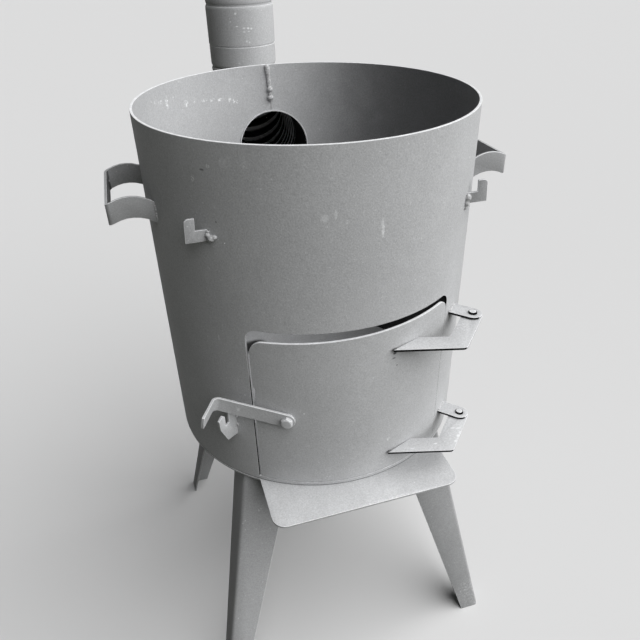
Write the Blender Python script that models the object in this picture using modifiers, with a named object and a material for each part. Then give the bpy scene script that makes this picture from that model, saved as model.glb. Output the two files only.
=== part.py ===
"""Kazan stove: an open steel drum on four legs, with a hinged fire door, a latch, a shelf and a flue.

Metres, +Z up. The drum's axis is the Z axis, the underside of the floor plate is z = 0, and the door
faces -Y. Angles round the drum are counted from the front, positive to the right as seen from there.
"""
import math

import bmesh
import bpy
from mathutils import Matrix, Vector

# General
GAP = 0.0003                    # left between pieces that touch
SHEET = 0.003                   # steel sheet that the drum, floor, door and brackets are cut from
ROUND = 96                      # facets round the drum
BURIED = 0.012                  # blank of a welded piece past the wall, before it is cut to the wall

# Drum
DRUM_RADIUS = 0.200
DRUM_HEIGHT = 0.436
SEAM_LENGTH = 0.051             # weld bead inside the back wall, down from the rim
SEAM_RADIUS = 0.0026
SEAM_BLOB = 0.0042

# Floor plate with its shelf
SHELF_REACH = 0.242             # drum axis to the shelf's front edge
SHELF_WIDTH = 0.244
SHELF_CORNER = 0.017

# Legs
LEG_HEIGHT = 0.355
LEG_ANGLES = {"front_left": -45.0, "front_right": 45.0, "back_left": -135.0, "back_right": 135.0}
LEG_FOLD_RADIUS = 0.1975        # drum axis to the outer fold at the top
LEG_SPLAY = 15.8
LEG_TOP_WIDTH = 0.064           # each face of the bent sheet, across its top
LEG_FOOT_WIDTH = 0.028
LEG_BEND = 0.005
LEG_SPARE = 0.020               # blank left past each end before the level cuts

# Handles
HANDLE_REACH = 0.243            # drum axis to the grip's outer face
HANDLE_LENGTH = 0.1188          # along the grip, over the two sides
HANDLE_STRIP = 0.0245
HANDLE_BEND = 0.004
HANDLE_DROP = 0.0842            # rim down to the strip's top edge at the wall
HANDLE_LIFT = 0.0024            # grip above the root
HANDLE_ARCH = 0.0077

# Tool hooks
HOOK_DROP = 0.0908              # rim down to the top of the hook's root
HOOK_REACH = 0.0225
HOOK_CLIMB = 3.2                # degrees that the arm climbs on its way out
HOOK_ROOT = 0.0125              # height of the root
HOOK_TINE = 0.0107
HOOK_RISE = 0.0132              # tine above the arm
HOOK_CORNER = 0.0045
HOOK_SPREAD = 47.1              # each hook's root, from the front
HOOK_FACING = 82.0              # the way each hook points, from the front
HOOK_WELD = 0.0042
HOOK_WELD_STRETCH = 1.5

# Door opening and door
OPENING_WIDTH = 0.263           # along the drum's outer face
OPENING_SILL = 0.006            # strip of wall left under the opening
OPENING_HEIGHT = 0.2285
OPENING_CORNER = 0.010
DOOR_LATCH_GAP = 0.0030
DOOR_HINGE_GAP = 0.0010
DOOR_TOP_GAP = 0.0125
DOOR_TOP_SLOPE = 0.0040         # the top gap is this much wider at the latch side
DOOR_BOTTOM_GAP = 0.0010
DOOR_CORNER = 0.012
DOOR_PROUD = 0.0010             # door's outer face in front of the drum's
NOTCH_HEIGHT = 0.024            # rough notch burnt into the door's latch side
NOTCH_DEPTH = 0.0025
NOTCH_TOP = 0.066               # door's top down to the notch

# Hinges
PIN_ANGLE = 43.4
PIN_OFFSET = 0.0265             # drum's outer face to the pins' axis
PIN_RADIUS = 0.005
PIN_PROUD = 0.0025
PIN_HEAD_RADIUS = 0.008
PIN_HEAD = 0.003
PIN_CHAMFER = 0.0006
PIN_PLAY = 0.0004
LUG_WIDTH = 0.023
HINGE_HEIGHTS = {"upper": 0.2010, "lower": 0.0420}      # top faces of the two arms
ARM_WIDTH = 0.024
ARM_REACH = 0.0626              # pin to the crank
ARM_TURN = 4.0                  # first leg of the arm, turned out from the wall's tangent
ARM_CRANK = 62.9                # angle between the two legs' directions
ARM_CORNER = 0.008

# Latch
LATCH_ANGLE = -25.0
LATCH_HEIGHT = 0.1163           # bolt's axis
BOLT_RADIUS = 0.004
BOLT_ACROSS_FLATS = 0.013
BOLT_HEAD = 0.0053
BOLT_TAIL = 0.003               # thread past the nut
BOLT_INSET = 0.001              # shank's end inside the head
BOLT_PLAY = 0.0004
NUT_THICKNESS = 0.0065
WASHER_RADIUS = 0.008
WASHER_THICKNESS = 0.0016
BAR_WIDTH = 0.019
BAR_LENGTH = 0.0895             # bolt to the grip's inner face
BAR_GRIP = 0.0385               # how far the grip stands out
BAR_BEND = 0.0075
BAR_SLANT = 0.0029              # last part of the grip, cut slanting
BAR_RAISED = 12.5               # rest pose, above level: just clear of the catch
BAR_DROPPED = 2.0               # below level, seated in the catch

# Catch
CATCH_ANGLE = -45.0
CATCH_PLAY = 0.0014             # each side of the bar in the slot
CATCH_TINE = 0.0110
CATCH_TINE_HEIGHT = 0.0180
CATCH_HORN = 0.0250             # inner side of the slot, above its bottom
CATCH_HOOK = 0.0235             # lowest point, below the slot's bottom
CATCH_ROOT = 0.0460             # height against the wall
CATCH_CHAMFER = 0.0038
CATCH_TAPER = 0.001             # tine's lean below the slot

# Flue
FLUE_DROP = 0.116               # rim down to the flue hole's centre
FLUE_SETBACK = 0.3925           # drum axis to the pipe's axis
FLUE_WALL = 0.0012
ELBOW_RADIUS = 0.0523
ELBOW_BEND = 0.074
ELBOW_STUB_INSIDE = 0.170       # drum axis to the tube's uncut end, inside the drum
ELBOW_NECK = 0.038              # straight part above the bend
ELBOW_BORE_SPARE = 0.010
CRIMPS = 10
CRIMP_HEIGHT = 0.0014
CRIMP_LEAD = 0.004              # plain tube before the first crimp
RING_HEIGHT = 0.0024            # rolled ring round the neck, under the collar
RING_PLACE = 0.003              # above the bend
RING_LENGTH = 0.008
COLLAR_START = 0.013            # above the bend
COLLAR_STEP = 0.0265            # height of the faint step in the collar's outside
COLLAR_NECKING = 0.0003         # how much narrower the collar is below the step
COLLAR_LENGTH = 0.090
COLLAR_ROUNDING = 0.005
COLLAR_SHOULDER = 0.007         # height of the soft shoulder at the top
COLLAR_WALL = 0.0016
PIPE_RADIUS = 0.0530
PIPE_PLAY = 0.0004
PIPE_LENGTH = 0.500
PIPE_BEAD = 0.0012
PIPE_BEAD_HEIGHT = 0.012
PIPE_BEAD_EASE = 0.002          # slope into and out of the bead

# Worked out from the sizes above
DRUM_BOTTOM = SHEET + GAP
RIM = DRUM_BOTTOM + DRUM_HEIGHT
FLOOR_UNDERSIDE = 0.0
GROUND = FLOOR_UNDERSIDE - LEG_HEIGHT
OPENING_BOTTOM = DRUM_BOTTOM + OPENING_SILL
OPENING_TOP = OPENING_BOTTOM + OPENING_HEIGHT
DOOR_RADIUS = DRUM_RADIUS + DOOR_PROUD
DOOR_BOTTOM = OPENING_BOTTOM + DOOR_BOTTOM_GAP
DOOR_TOP = OPENING_TOP - DOOR_TOP_GAP
PIN_DISTANCE = DRUM_RADIUS + PIN_OFFSET
FLUE_HEIGHT = RIM - FLUE_DROP
BAR_INNER = DOOR_RADIUS + GAP + WASHER_THICKNESS + GAP
BAR_OUTER = BAR_INNER + SHEET


def outward(angle):
    """Unit vector away from the drum's axis at an angle from the front."""
    a = math.radians(angle)
    return Vector((math.sin(a), -math.cos(a), 0.0))


def sideways(angle):
    """Unit vector along the drum's wall, toward rising angles."""
    a = math.radians(angle)
    return Vector((math.cos(a), math.sin(a), 0.0))


def axes(x_axis, y_axis, z_axis, origin):
    """Matrix that places a piece by its three directions and its origin."""
    turn = Matrix((x_axis, y_axis, z_axis)).transposed().to_4x4()
    return Matrix.Translation(origin) @ turn


def clear_scene():
    for obj in list(bpy.data.objects):
        bpy.data.objects.remove(obj, do_unlink=True)


def collection(name):
    made = bpy.data.collections.new(name)
    bpy.context.scene.collection.children.link(made)
    return made


clear_scene()
PARTS = collection("kazan_stove")
CUTTERS = collection("cutters")


def material(name, colour, roughness, metallic):
    mat = bpy.data.materials.new(name)
    mat.use_nodes = True
    shader = mat.node_tree.nodes["Principled BSDF"]
    shader.inputs["Base Color"].default_value = (*colour, 1.0)
    shader.inputs["Roughness"].default_value = roughness
    shader.inputs["Metallic"].default_value = metallic
    mat.diffuse_color = (*colour, 1.0)
    return mat


def stove_paint(name):
    """Grey heat-resistant paint, one material for each piece."""
    return material(name + "_paint", (0.19, 0.19, 0.185), 0.62, 0.0)


def finish(obj, into=PARTS):
    """Put a piece into its collection, with its own paint and smooth shading on round faces."""
    for owner in list(obj.users_collection):
        owner.objects.unlink(obj)
    into.objects.link(obj)
    if into is CUTTERS:
        obj.hide_render = True
        obj.display_type = "WIRE"
        return obj
    obj.data.materials.clear()
    obj.data.materials.append(stove_paint(obj.name))
    obj.data.shade_smooth()
    obj.data.set_sharp_from_angle(angle=math.radians(30.0))
    return obj


def mesh_object(name, bm, into=PARTS):
    data = bpy.data.meshes.new(name)
    bm.to_mesh(data)
    bm.free()
    obj = bpy.data.objects.new(name, data)
    into.objects.link(obj)
    return obj


def solid_from_curve(name, curve, into=PARTS):
    """Turn a filled curve into one closed mesh."""
    drawn = bpy.data.objects.new(name + "_curve", curve)
    CUTTERS.objects.link(drawn)
    bpy.context.view_layer.update()
    ready = drawn.evaluated_get(bpy.context.evaluated_depsgraph_get())
    data = bpy.data.meshes.new_from_object(ready)
    bm = bmesh.new()
    bm.from_mesh(data)
    bmesh.ops.remove_doubles(bm, verts=bm.verts, dist=1e-6)
    bmesh.ops.recalc_face_normals(bm, faces=bm.faces)
    bm.to_mesh(data)
    bm.free()
    obj = bpy.data.objects.new(name, data)
    obj.matrix_world = drawn.matrix_world
    into.objects.link(obj)
    bpy.data.objects.remove(drawn, do_unlink=True)
    return obj


def flat_plate(name, outlines, thickness, place, into=PARTS):
    """Plate cut along closed outlines (the first is the edge, the others are holes), mid-plane at z = 0."""
    curve = bpy.data.curves.new(name, "CURVE")
    curve.dimensions = "2D"
    curve.fill_mode = "BOTH"
    curve.extrude = thickness / 2
    for outline in outlines:
        spline = curve.splines.new("POLY")
        spline.points.add(len(outline) - 1)
        for point, (x, y) in zip(spline.points, outline):
            point.co = (x, y, 0.0, 1.0)
        spline.use_cyclic_u = True
    obj = solid_from_curve(name, curve, into)
    obj.matrix_world = place
    return finish(obj, into)


def arc(centre, radius, start, end, steps):
    """Points on an arc, angles in degrees, both ends included."""
    found = []
    for i in range(steps + 1):
        a = math.radians(start + (end - start) * i / steps)
        found.append((centre[0] + radius * math.cos(a), centre[1] + radius * math.sin(a)))
    return found


def circle(centre, radius, sides):
    """Circle whose flats, not its corners, lie at the radius."""
    reach = radius / math.cos(math.pi / sides)
    return arc(centre, reach, 0.0, 360.0 - 360.0 / sides, sides - 1)


def turned(name, profile, steps, closed=False, into=PARTS):
    """Body turned about Z from (radius, height) points that run down its outer side."""
    bm = bmesh.new()
    verts = [bm.verts.new((r, 0.0, z)) for r, z in profile]
    for a, b in zip(verts, verts[1:]):
        bm.edges.new((a, b))
    if closed:
        bm.edges.new((verts[-1], verts[0]))
    obj = mesh_object(name, bm, into)
    screw = obj.modifiers.new("turn", "SCREW")
    screw.steps = steps
    screw.render_steps = steps
    screw.use_merge_vertices = True
    screw.merge_threshold = 1e-5
    screw.use_smooth_shade = True
    return finish(obj, into)


def bent_strip(name, path, tops, bottoms, thickness, into=PARTS):
    """Strip stood on edge along a plan path, with a top and a bottom height at each point."""
    bm = bmesh.new()
    upper = [bm.verts.new((x, y, z)) for (x, y), z in zip(path, tops)]
    lower = [bm.verts.new((x, y, z)) for (x, y), z in zip(path, bottoms)]
    for i in range(len(path) - 1):
        bm.faces.new((upper[i], lower[i], lower[i + 1], upper[i + 1]))
    obj = mesh_object(name, bm, into)
    shell = obj.modifiers.new("thickness", "SOLIDIFY")
    shell.thickness = thickness
    shell.offset = 0.0
    shell.use_even_offset = True
    return finish(obj, into)


def cylinder_cutter(name, radius, depth, sides, place):
    bpy.ops.mesh.primitive_cylinder_add(vertices=sides, radius=radius, depth=depth)
    obj = bpy.context.object
    obj.name = name
    obj.matrix_world = place
    return finish(obj, CUTTERS)


def cube_cutter(name, size, place):
    bm = bmesh.new()
    bmesh.ops.create_cube(bm, size=1.0)
    bmesh.ops.scale(bm, vec=size, verts=bm.verts)
    obj = mesh_object(name, bm, CUTTERS)
    obj.matrix_world = place
    return finish(obj, CUTTERS)


def cut(obj, cutter, operation="DIFFERENCE"):
    step = obj.modifiers.new(operation.lower(), "BOOLEAN")
    step.operation = operation
    step.solver = "EXACT"
    step.object = cutter


def rolled_sheet(name, left, right, bottom, top_left, top_right, corner, radius, wall, offset, into=PARTS):
    """Sheet rolled to the drum's curve between two arc positions (metres along the wall), rounded on top.

    offset -1 keeps the sheet inside the radius, 0 straddles it.
    """
    facet = 2 * math.pi * DRUM_RADIUS / ROUND
    inner_left, inner_right = left + corner, right - corner
    places = [inner_left - corner * math.cos(math.radians(a)) for a in (0, 22.5, 45, 67.5)]
    places.append(inner_left)
    places += [k * facet for k in range(-ROUND, ROUND) if inner_left + 1e-4 < k * facet < inner_right - 1e-4]
    places += [inner_right + corner * math.sin(math.radians(a)) for a in (0, 22.5, 45, 67.5, 90)]
    bm = bmesh.new()
    upper, lower = [], []
    for s in places:
        top = top_left + (top_right - top_left) * (s - left) / (right - left)
        into_corner = max(inner_left - s, s - inner_right, 0.0)
        top -= corner - math.sqrt(max(corner ** 2 - into_corner ** 2, 0.0))
        x, y, _ = outward(math.degrees(s / DRUM_RADIUS)) * radius
        upper.append(bm.verts.new((x, y, top)))
        lower.append(bm.verts.new((x, y, bottom)))
    for i in range(len(places) - 1):
        bm.faces.new((lower[i], lower[i + 1], upper[i + 1], upper[i]))
    obj = mesh_object(name, bm, into)
    shell = obj.modifiers.new("wall", "SOLIDIFY")
    shell.thickness = wall
    shell.offset = offset
    shell.use_even_offset = True
    return finish(obj, into)


DRUM_MIDDLE = (DRUM_BOTTOM + RIM) / 2
AROUND_DRUM = cylinder_cutter("around_drum", DRUM_RADIUS + GAP, 2 * DRUM_HEIGHT, ROUND,
                              Matrix.Translation((0, 0, DRUM_MIDDLE)))
INSIDE_DRUM = cylinder_cutter("inside_drum", DRUM_RADIUS - SHEET, 2 * DRUM_HEIGHT, ROUND,
                              Matrix.Translation((0, 0, DRUM_MIDDLE)))


def make_drum():
    inner = DRUM_RADIUS - SHEET
    drum = turned("drum_shell", [(DRUM_RADIUS, RIM), (DRUM_RADIUS, DRUM_BOTTOM), (inner, DRUM_BOTTOM),
                                 (inner, RIM)], ROUND, closed=True)
    opening = rolled_sheet("door_opening", -OPENING_WIDTH / 2, OPENING_WIDTH / 2, OPENING_BOTTOM, OPENING_TOP,
                           OPENING_TOP, OPENING_CORNER, DRUM_RADIUS, 5 * SHEET, 0.0, CUTTERS)
    cut(drum, opening)
    along_y = Matrix.Rotation(math.radians(90.0), 4, "X")
    hole_radius = (ELBOW_RADIUS + GAP) / math.cos(math.pi / 48)
    hole = cylinder_cutter("flue_hole", hole_radius, DRUM_RADIUS, 48,
                           Matrix.Translation((0, DRUM_RADIUS, FLUE_HEIGHT)) @ along_y)
    cut(drum, hole)


def make_seam_weld():
    """Bead down the inside of the back wall, ending in two blobs."""
    wall = (DRUM_RADIUS - SHEET) * math.cos(math.pi / ROUND)
    y = wall - GAP - SEAM_RADIUS
    bm = bmesh.new()
    lie = Matrix.Translation((0, y, RIM - GAP - SEAM_LENGTH / 2))
    bmesh.ops.create_cone(bm, cap_ends=True, segments=12, radius1=SEAM_RADIUS, radius2=SEAM_RADIUS,
                          depth=SEAM_LENGTH, matrix=lie)
    seam = finish(mesh_object("drum_seam_weld", bm))
    for i in range(2):
        bm = bmesh.new()
        drop = RIM - SEAM_LENGTH + i * 1.9 * SEAM_BLOB
        place = Matrix.Translation((0, wall - GAP - SEAM_BLOB, drop))
        bmesh.ops.create_uvsphere(bm, u_segments=12, v_segments=8, radius=SEAM_BLOB, matrix=place)
        cut(seam, finish(mesh_object(f"seam_blob_{i + 1}", bm, CUTTERS), CUTTERS), "UNION")


def make_floor():
    """Disc under the drum whose front runs out as the shelf."""
    half = SHELF_WIDTH / 2
    front = SHELF_REACH
    meet = math.degrees(math.asin(half / DRUM_RADIUS))
    outline = arc((0, 0), DRUM_RADIUS, -90.0 + meet, 270.0 - meet, ROUND - 20)
    left, right = -half + SHELF_CORNER, half - SHELF_CORNER
    low = -front + SHELF_CORNER
    outline += arc((left, low), SHELF_CORNER, 180.0, 270.0, 6)
    outline += arc((right, low), SHELF_CORNER, 270.0, 360.0, 6)
    flat_plate("floor_plate", [outline], SHEET, Matrix.Translation((0, 0, FLOOR_UNDERSIDE + SHEET / 2)))


def make_leg(name, angle):
    """Tapered sheet folded to a right angle, its fold outward, leaning out and cut level at both ends."""
    out, along, up = outward(angle), sideways(angle), Vector((0, 0, 1))
    splay = math.radians(LEG_SPLAY)
    down = out * math.sin(splay) - up * math.cos(splay)
    inward = -(out * math.cos(splay) + up * math.sin(splay))
    length = LEG_HEIGHT / math.cos(splay)
    top = out * LEG_FOLD_RADIUS + up * FLOOR_UNDERSIDE
    half = math.sqrt(0.5)
    bm = bmesh.new()
    rows = []
    for s in (-LEG_SPARE, length + LEG_SPARE):
        width = LEG_TOP_WIDTH + (LEG_FOOT_WIDTH - LEG_TOP_WIDTH) * s / length
        fold = top + down * s
        row = [fold + (inward - along) * half * width, fold + (inward - along) * half * LEG_BEND]
        centre = fold + inward * LEG_BEND / half
        for turn in (-22.5, 0.0, 22.5):
            t = math.radians(turn)
            row.append(centre + (along * math.sin(t) - inward * math.cos(t)) * LEG_BEND)
        row += [fold + (inward + along) * half * LEG_BEND, fold + (inward + along) * half * width]
        rows.append([bm.verts.new(p) for p in row])
    for i in range(len(rows[0]) - 1):
        bm.faces.new((rows[0][i], rows[1][i], rows[1][i + 1], rows[0][i + 1]))
    leg = mesh_object(name, bm)
    shell = leg.modifiers.new("thickness", "SOLIDIFY")
    shell.thickness = SHEET
    shell.offset = -1.0
    shell.use_even_offset = True
    finish(leg)
    block = DRUM_RADIUS
    for label, z in (("top", FLOOR_UNDERSIDE - GAP + block / 2), ("foot", GROUND - block / 2)):
        middle = out * (LEG_FOLD_RADIUS + LEG_FOOT_WIDTH) + up * z
        trim = cube_cutter(f"{name}_{label}_trim", (2 * block, 2 * block, block), Matrix.Translation(middle))
        cut(leg, trim)


def make_handle(name, side):
    """U of strip on edge whose two sides arch up on their way out."""
    grip = HANDLE_REACH - SHEET / 2
    half = HANDLE_LENGTH / 2 - SHEET / 2
    wall = math.sqrt(DRUM_RADIUS ** 2 - half ** 2)
    root = wall - BURIED
    steps = 8
    start = grip - HANDLE_BEND
    plan = [(root + (start - root) * i / steps, half) for i in range(steps)]
    plan += arc((start, half - HANDLE_BEND), HANDLE_BEND, 90.0, 0.0, 5)
    plan += [(x, -y) for x, y in reversed(plan)]
    tops = []
    for x, _ in plan:
        u = (x - wall) / (grip - wall)
        tops.append(RIM - HANDLE_DROP + HANDLE_LIFT * u + 4 * HANDLE_ARCH * u * (1 - u))
    path = [(side * x, y) for x, y in plan]
    bottoms = [z - HANDLE_STRIP for z in tops]
    handle = bent_strip(name, path, tops, bottoms, SHEET)
    cut(handle, AROUND_DRUM)


def rounded(corner, before, after, radius, steps=4):
    """Corner of an outline replaced by an arc that touches both of its sides."""
    p, a, b = Vector(corner), Vector(before), Vector(after)
    u, v = (a - p).normalized(), (b - p).normalized()
    half = u.angle(v) / 2
    centre = p + (u + v).normalized() * radius / math.sin(half)
    start = p + u * radius / math.tan(half) - centre
    end = p + v * radius / math.tan(half) - centre
    turn = start.angle_signed(end)
    found = []
    for i in range(steps + 1):
        spin = Matrix.Rotation(-turn * i / steps, 2)
        found.append(tuple(centre + spin @ start))
    return found


def place_on_wall(angle, facing):
    """Place for an upright plate that starts on the wall: local X the way it points, local Y up."""
    out = outward(facing)
    up = Vector((0, 0, 1))
    return axes(out, up, out.cross(up), outward(angle) * DRUM_RADIUS)


def make_hook(side, sign):
    """L plate whose arm climbs a little and ends in an upright tine."""
    inner = HOOK_REACH - HOOK_TINE
    outline = [(-BURIED, 0), (inner, 0), (inner, HOOK_RISE)]
    outline += rounded((HOOK_REACH, HOOK_RISE), (inner, HOOK_RISE), (HOOK_REACH, -HOOK_ROOT), HOOK_CORNER)
    outline += [(HOOK_REACH, -HOOK_ROOT), (-BURIED, -HOOK_ROOT)]
    climb = Matrix.Translation((0, RIM - HOOK_DROP, 0)) @ Matrix.Rotation(math.radians(HOOK_CLIMB), 4, "Z")
    place = place_on_wall(sign * HOOK_SPREAD, sign * HOOK_FACING) @ climb
    cut(flat_plate(f"tool_hook_{side}", [outline], SHEET, place), AROUND_DRUM)


def make_hook_weld(side, sign):
    """Weld blob on the wall beside the root of a hook, on the side that faces the door."""
    middle = RIM - HOOK_DROP - HOOK_ROOT / 2
    lean = math.radians(HOOK_FACING - HOOK_SPREAD)
    beside = (SHEET / 2 + GAP) / math.cos(lean) + 0.6 * HOOK_WELD
    spot = outward(sign * (HOOK_SPREAD - math.degrees(beside / DRUM_RADIUS)))
    spot = spot * (DRUM_RADIUS + GAP + 0.35 * HOOK_WELD) + Vector((0, 0, middle))
    bm = bmesh.new()
    stretch = Matrix.Diagonal((1.0, 1.0, HOOK_WELD_STRETCH, 1.0))
    bmesh.ops.create_uvsphere(bm, u_segments=12, v_segments=8, radius=HOOK_WELD,
                              matrix=Matrix.Translation(spot) @ stretch)
    weld = finish(mesh_object(f"tool_hook_weld_{side}", bm))
    cut(weld, AROUND_DRUM)
    size = 6 * HOOK_WELD
    beyond = Matrix.Translation((0, middle, -sign * (size / 2 - SHEET / 2 - GAP)))
    place = place_on_wall(sign * HOOK_SPREAD, sign * HOOK_FACING) @ beyond
    cut(weld, cube_cutter(f"hook_{side}_clearance", (size, size, size), place))


def make_door():
    """Curved panel that fills the opening, with a small notch in its latch side."""
    left = -OPENING_WIDTH / 2 + DOOR_LATCH_GAP
    right = OPENING_WIDTH / 2 - DOOR_HINGE_GAP
    slope = DOOR_TOP_SLOPE / 2
    door = rolled_sheet("door_panel", left, right, DOOR_BOTTOM, DOOR_TOP - slope, DOOR_TOP + slope,
                        DOOR_CORNER, DOOR_RADIUS, SHEET, -1.0)
    notch_angle = math.degrees(left / DRUM_RADIUS)
    middle = DOOR_TOP - NOTCH_TOP - NOTCH_HEIGHT / 2
    place = axes(sideways(notch_angle), -outward(notch_angle), Vector((0, 0, 1)),
                 outward(notch_angle) * DRUM_RADIUS + Vector((0, 0, middle)))
    cut(door, cube_cutter("door_notch", (2 * NOTCH_DEPTH, 6 * SHEET, NOTCH_HEIGHT), place))
    cut(door, cylinder_cutter("door_bolt_hole", BOLT_RADIUS + GAP, 10 * SHEET, 24, latch_axes(0.0)))


def pin_centre():
    return outward(PIN_ANGLE) * PIN_DISTANCE


def make_lug(name, arm_top):
    """Flat lug on edge against the drum, round-ended about the pin."""
    half = LUG_WIDTH / 2
    out, along = outward(PIN_ANGLE), sideways(PIN_ANGLE)
    place = axes(out, along, Vector((0, 0, 1)), Vector((0, 0, arm_top + GAP + SHEET / 2)))
    root = DRUM_RADIUS - BURIED
    outline = [(root, -half)] + arc((PIN_DISTANCE, 0), half, -90.0, 90.0, 12) + [(root, half)]
    hole = circle((PIN_DISTANCE, 0), PIN_RADIUS + GAP, 24)
    cut(flat_plate(name, [outline, hole], SHEET, place), AROUND_DRUM)


def make_pin(name, arm_top):
    """Headed pin: its head is under the arm, and it stands a little above the lug."""
    top = arm_top + GAP + SHEET + PIN_PROUD
    seat = arm_top - SHEET - GAP
    profile = [(0, top), (PIN_RADIUS - PIN_CHAMFER, top), (PIN_RADIUS, top - PIN_CHAMFER), (PIN_RADIUS, seat),
               (PIN_HEAD_RADIUS, seat), (PIN_HEAD_RADIUS, seat - PIN_HEAD), (0, seat - PIN_HEAD)]
    pin = turned(name, profile, 24)
    pin.location = pin_centre()


def make_arm(name, arm_top):
    """Cranked flat arm from the pin to the door, its straight end laid along the door's face.

    The end touches the door at its inner corner and runs off along the tangent there.
    """
    half = ARM_WIDTH / 2
    pin = pin_centre().to_2d()
    first = -sideways(PIN_ANGLE + ARM_TURN).to_2d()
    second = Matrix.Rotation(-math.radians(ARM_CRANK), 2) @ first
    crank = pin + first * ARM_REACH
    side_1 = Vector((-first.y, first.x))
    side_2 = Vector((-second.y, second.x))
    bend = (side_1 + side_2).normalized()
    miter = half / bend.dot(side_1)
    inner = crank - bend * miter
    outer = crank + bend * miter
    face = DOOR_RADIUS + GAP
    nearing = -inner.dot(second)
    corner = inner + second * (nearing - math.sqrt(nearing ** 2 - inner.length_squared + face ** 2))
    away = corner.normalized()
    tip = outer + second * (face - outer.dot(away)) / second.dot(away)
    round_end = math.degrees(math.atan2(-side_1.y, -side_1.x))
    outline = arc(pin, half, round_end, round_end - 180.0, 12)
    outline += rounded(tuple(outer), tuple(pin + side_1 * half), tuple(tip), ARM_CORNER)
    outline += [tuple(tip), tuple(corner), tuple(inner)]
    outline = [(x - pin.x, y - pin.y) for x, y in outline]
    hole = circle((0, 0), PIN_RADIUS + PIN_PLAY, 24)
    place = Matrix.Translation((pin.x, pin.y, arm_top - SHEET / 2))
    flat_plate(name, [outline, hole], SHEET, place)


def latch_axes(distance):
    """Place on the bolt's axis, a distance out from the door's face: X along the wall, Y up, Z out."""
    out, up = outward(LATCH_ANGLE), Vector((0, 0, 1))
    return axes(sideways(LATCH_ANGLE), up, out, out * (DOOR_RADIUS + distance) + up * LATCH_HEIGHT)


def make_bolt_set():
    """Hex bolt, washer and nut that hold the bar on the door, turned about the bolt's own axis."""
    head_seat = BAR_OUTER - DOOR_RADIUS + GAP
    nut_seat = -SHEET - GAP - (WASHER_RADIUS ** 2) / (2 * DOOR_RADIUS)
    tail = nut_seat - NUT_THICKNESS - BOLT_TAIL
    corner = BOLT_ACROSS_FLATS / 2 / math.cos(math.radians(30.0))
    bolt_top = head_seat + BOLT_HEAD
    bm = bmesh.new()
    bmesh.ops.create_cone(bm, cap_ends=True, segments=6, radius1=corner, radius2=corner, depth=BOLT_HEAD,
                          matrix=Matrix.Translation((0, 0, head_seat + BOLT_HEAD / 2)))
    bolt = mesh_object("latch_bolt", bm)
    bolt.matrix_world = latch_axes(0.0)
    finish(bolt)
    shank_length = bolt_top - BOLT_INSET - tail
    shank = cylinder_cutter("bolt_shank", BOLT_RADIUS, shank_length, 24,
                            latch_axes(0.0) @ Matrix.Translation((0, 0, tail + shank_length / 2)))
    cut(bolt, shank, "UNION")
    bore = circle((0, 0), BOLT_RADIUS + GAP, 24)
    flat_plate("latch_washer", [circle((0, 0), WASHER_RADIUS, 32), bore], WASHER_THICKNESS,
               latch_axes(GAP + WASHER_THICKNESS / 2))
    hexagon = arc((0, 0), corner, 0.0, 300.0, 5)
    flat_plate("latch_nut", [hexagon, bore], NUT_THICKNESS, latch_axes(nut_seat - NUT_THICKNESS / 2))


def make_bar():
    """Flat bar, round-ended about the bolt, whose far end bends out as a grip."""
    half = BAR_WIDTH / 2
    middle = (BAR_INNER + BAR_OUTER) / 2 - DOOR_RADIUS
    path, halves = [], []
    for a in (9, 25, 45, 67.5, 90):
        path.append((-half * math.cos(math.radians(a)), middle))
        halves.append(half * math.sin(math.radians(a)))
    turn = BAR_BEND
    path += [(x, y) for x, y in arc((BAR_LENGTH - turn, middle + turn), turn, -90.0, 0.0, 6)]
    path.append((BAR_LENGTH + SHEET / 2, middle + BAR_GRIP - BAR_SLANT))
    path.append((BAR_LENGTH + SHEET / 2, middle + BAR_GRIP))
    halves += [half] * (len(path) - len(halves))
    tops = halves
    bottoms = [-h for h in halves]
    bottoms[-1] = 0.1 * half
    bar = bent_strip("latch_bar", path, tops, bottoms, SHEET)
    out, along, up = outward(LATCH_ANGLE), sideways(LATCH_ANGLE), Vector((0, 0, 1))
    level = axes(-along, out, up, out * DOOR_RADIUS + up * LATCH_HEIGHT)
    bar.matrix_world = level @ Matrix.Rotation(-math.radians(BAR_RAISED), 4, "Y")
    hole_radius = (BOLT_RADIUS + BOLT_PLAY) / math.cos(math.pi / 24)
    cut(bar, cylinder_cutter("bar_hole", hole_radius, 10 * SHEET, 24, latch_axes(0.0)))


def make_catch():
    """Hooked plate on the drum: the bar drops between the wall side and the tine."""
    apart = math.radians(LATCH_ANGLE - CATCH_ANGLE)
    skew = math.tan(apart) * SHEET / 2
    inner = BAR_INNER / math.cos(apart) - skew - CATCH_PLAY - DRUM_RADIUS
    outer = BAR_OUTER / math.cos(apart) + skew + CATCH_PLAY - DRUM_RADIUS
    reach = BAR_OUTER * math.tan(apart)
    fall = math.radians(BAR_DROPPED)
    seat = LATCH_HEIGHT - reach * math.sin(fall) - BAR_WIDTH / 2 * math.cos(fall) - GAP
    far = outer + CATCH_TINE
    horn = seat + CATCH_HORN
    shoulder = horn - 2 * CATCH_CHAMFER
    tip = seat + CATCH_TINE_HEIGHT
    foot = shoulder - CATCH_ROOT
    outline = [(-BURIED, shoulder), (0, shoulder), (inner / 2, horn), (inner, horn - CATCH_CHAMFER)]
    outline += [(inner, seat), (outer, seat), (outer, tip - CATCH_CHAMFER), (outer + CATCH_CHAMFER, tip)]
    outline += [(far, tip - CATCH_CHAMFER), (far - CATCH_TAPER, seat)]
    outline += [(outer - CATCH_TAPER, seat - CATCH_HOOK), (0, foot), (-BURIED, foot)]
    cut(flat_plate("latch_catch", [outline], SHEET, place_on_wall(CATCH_ANGLE, CATCH_ANGLE)), AROUND_DRUM)


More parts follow.
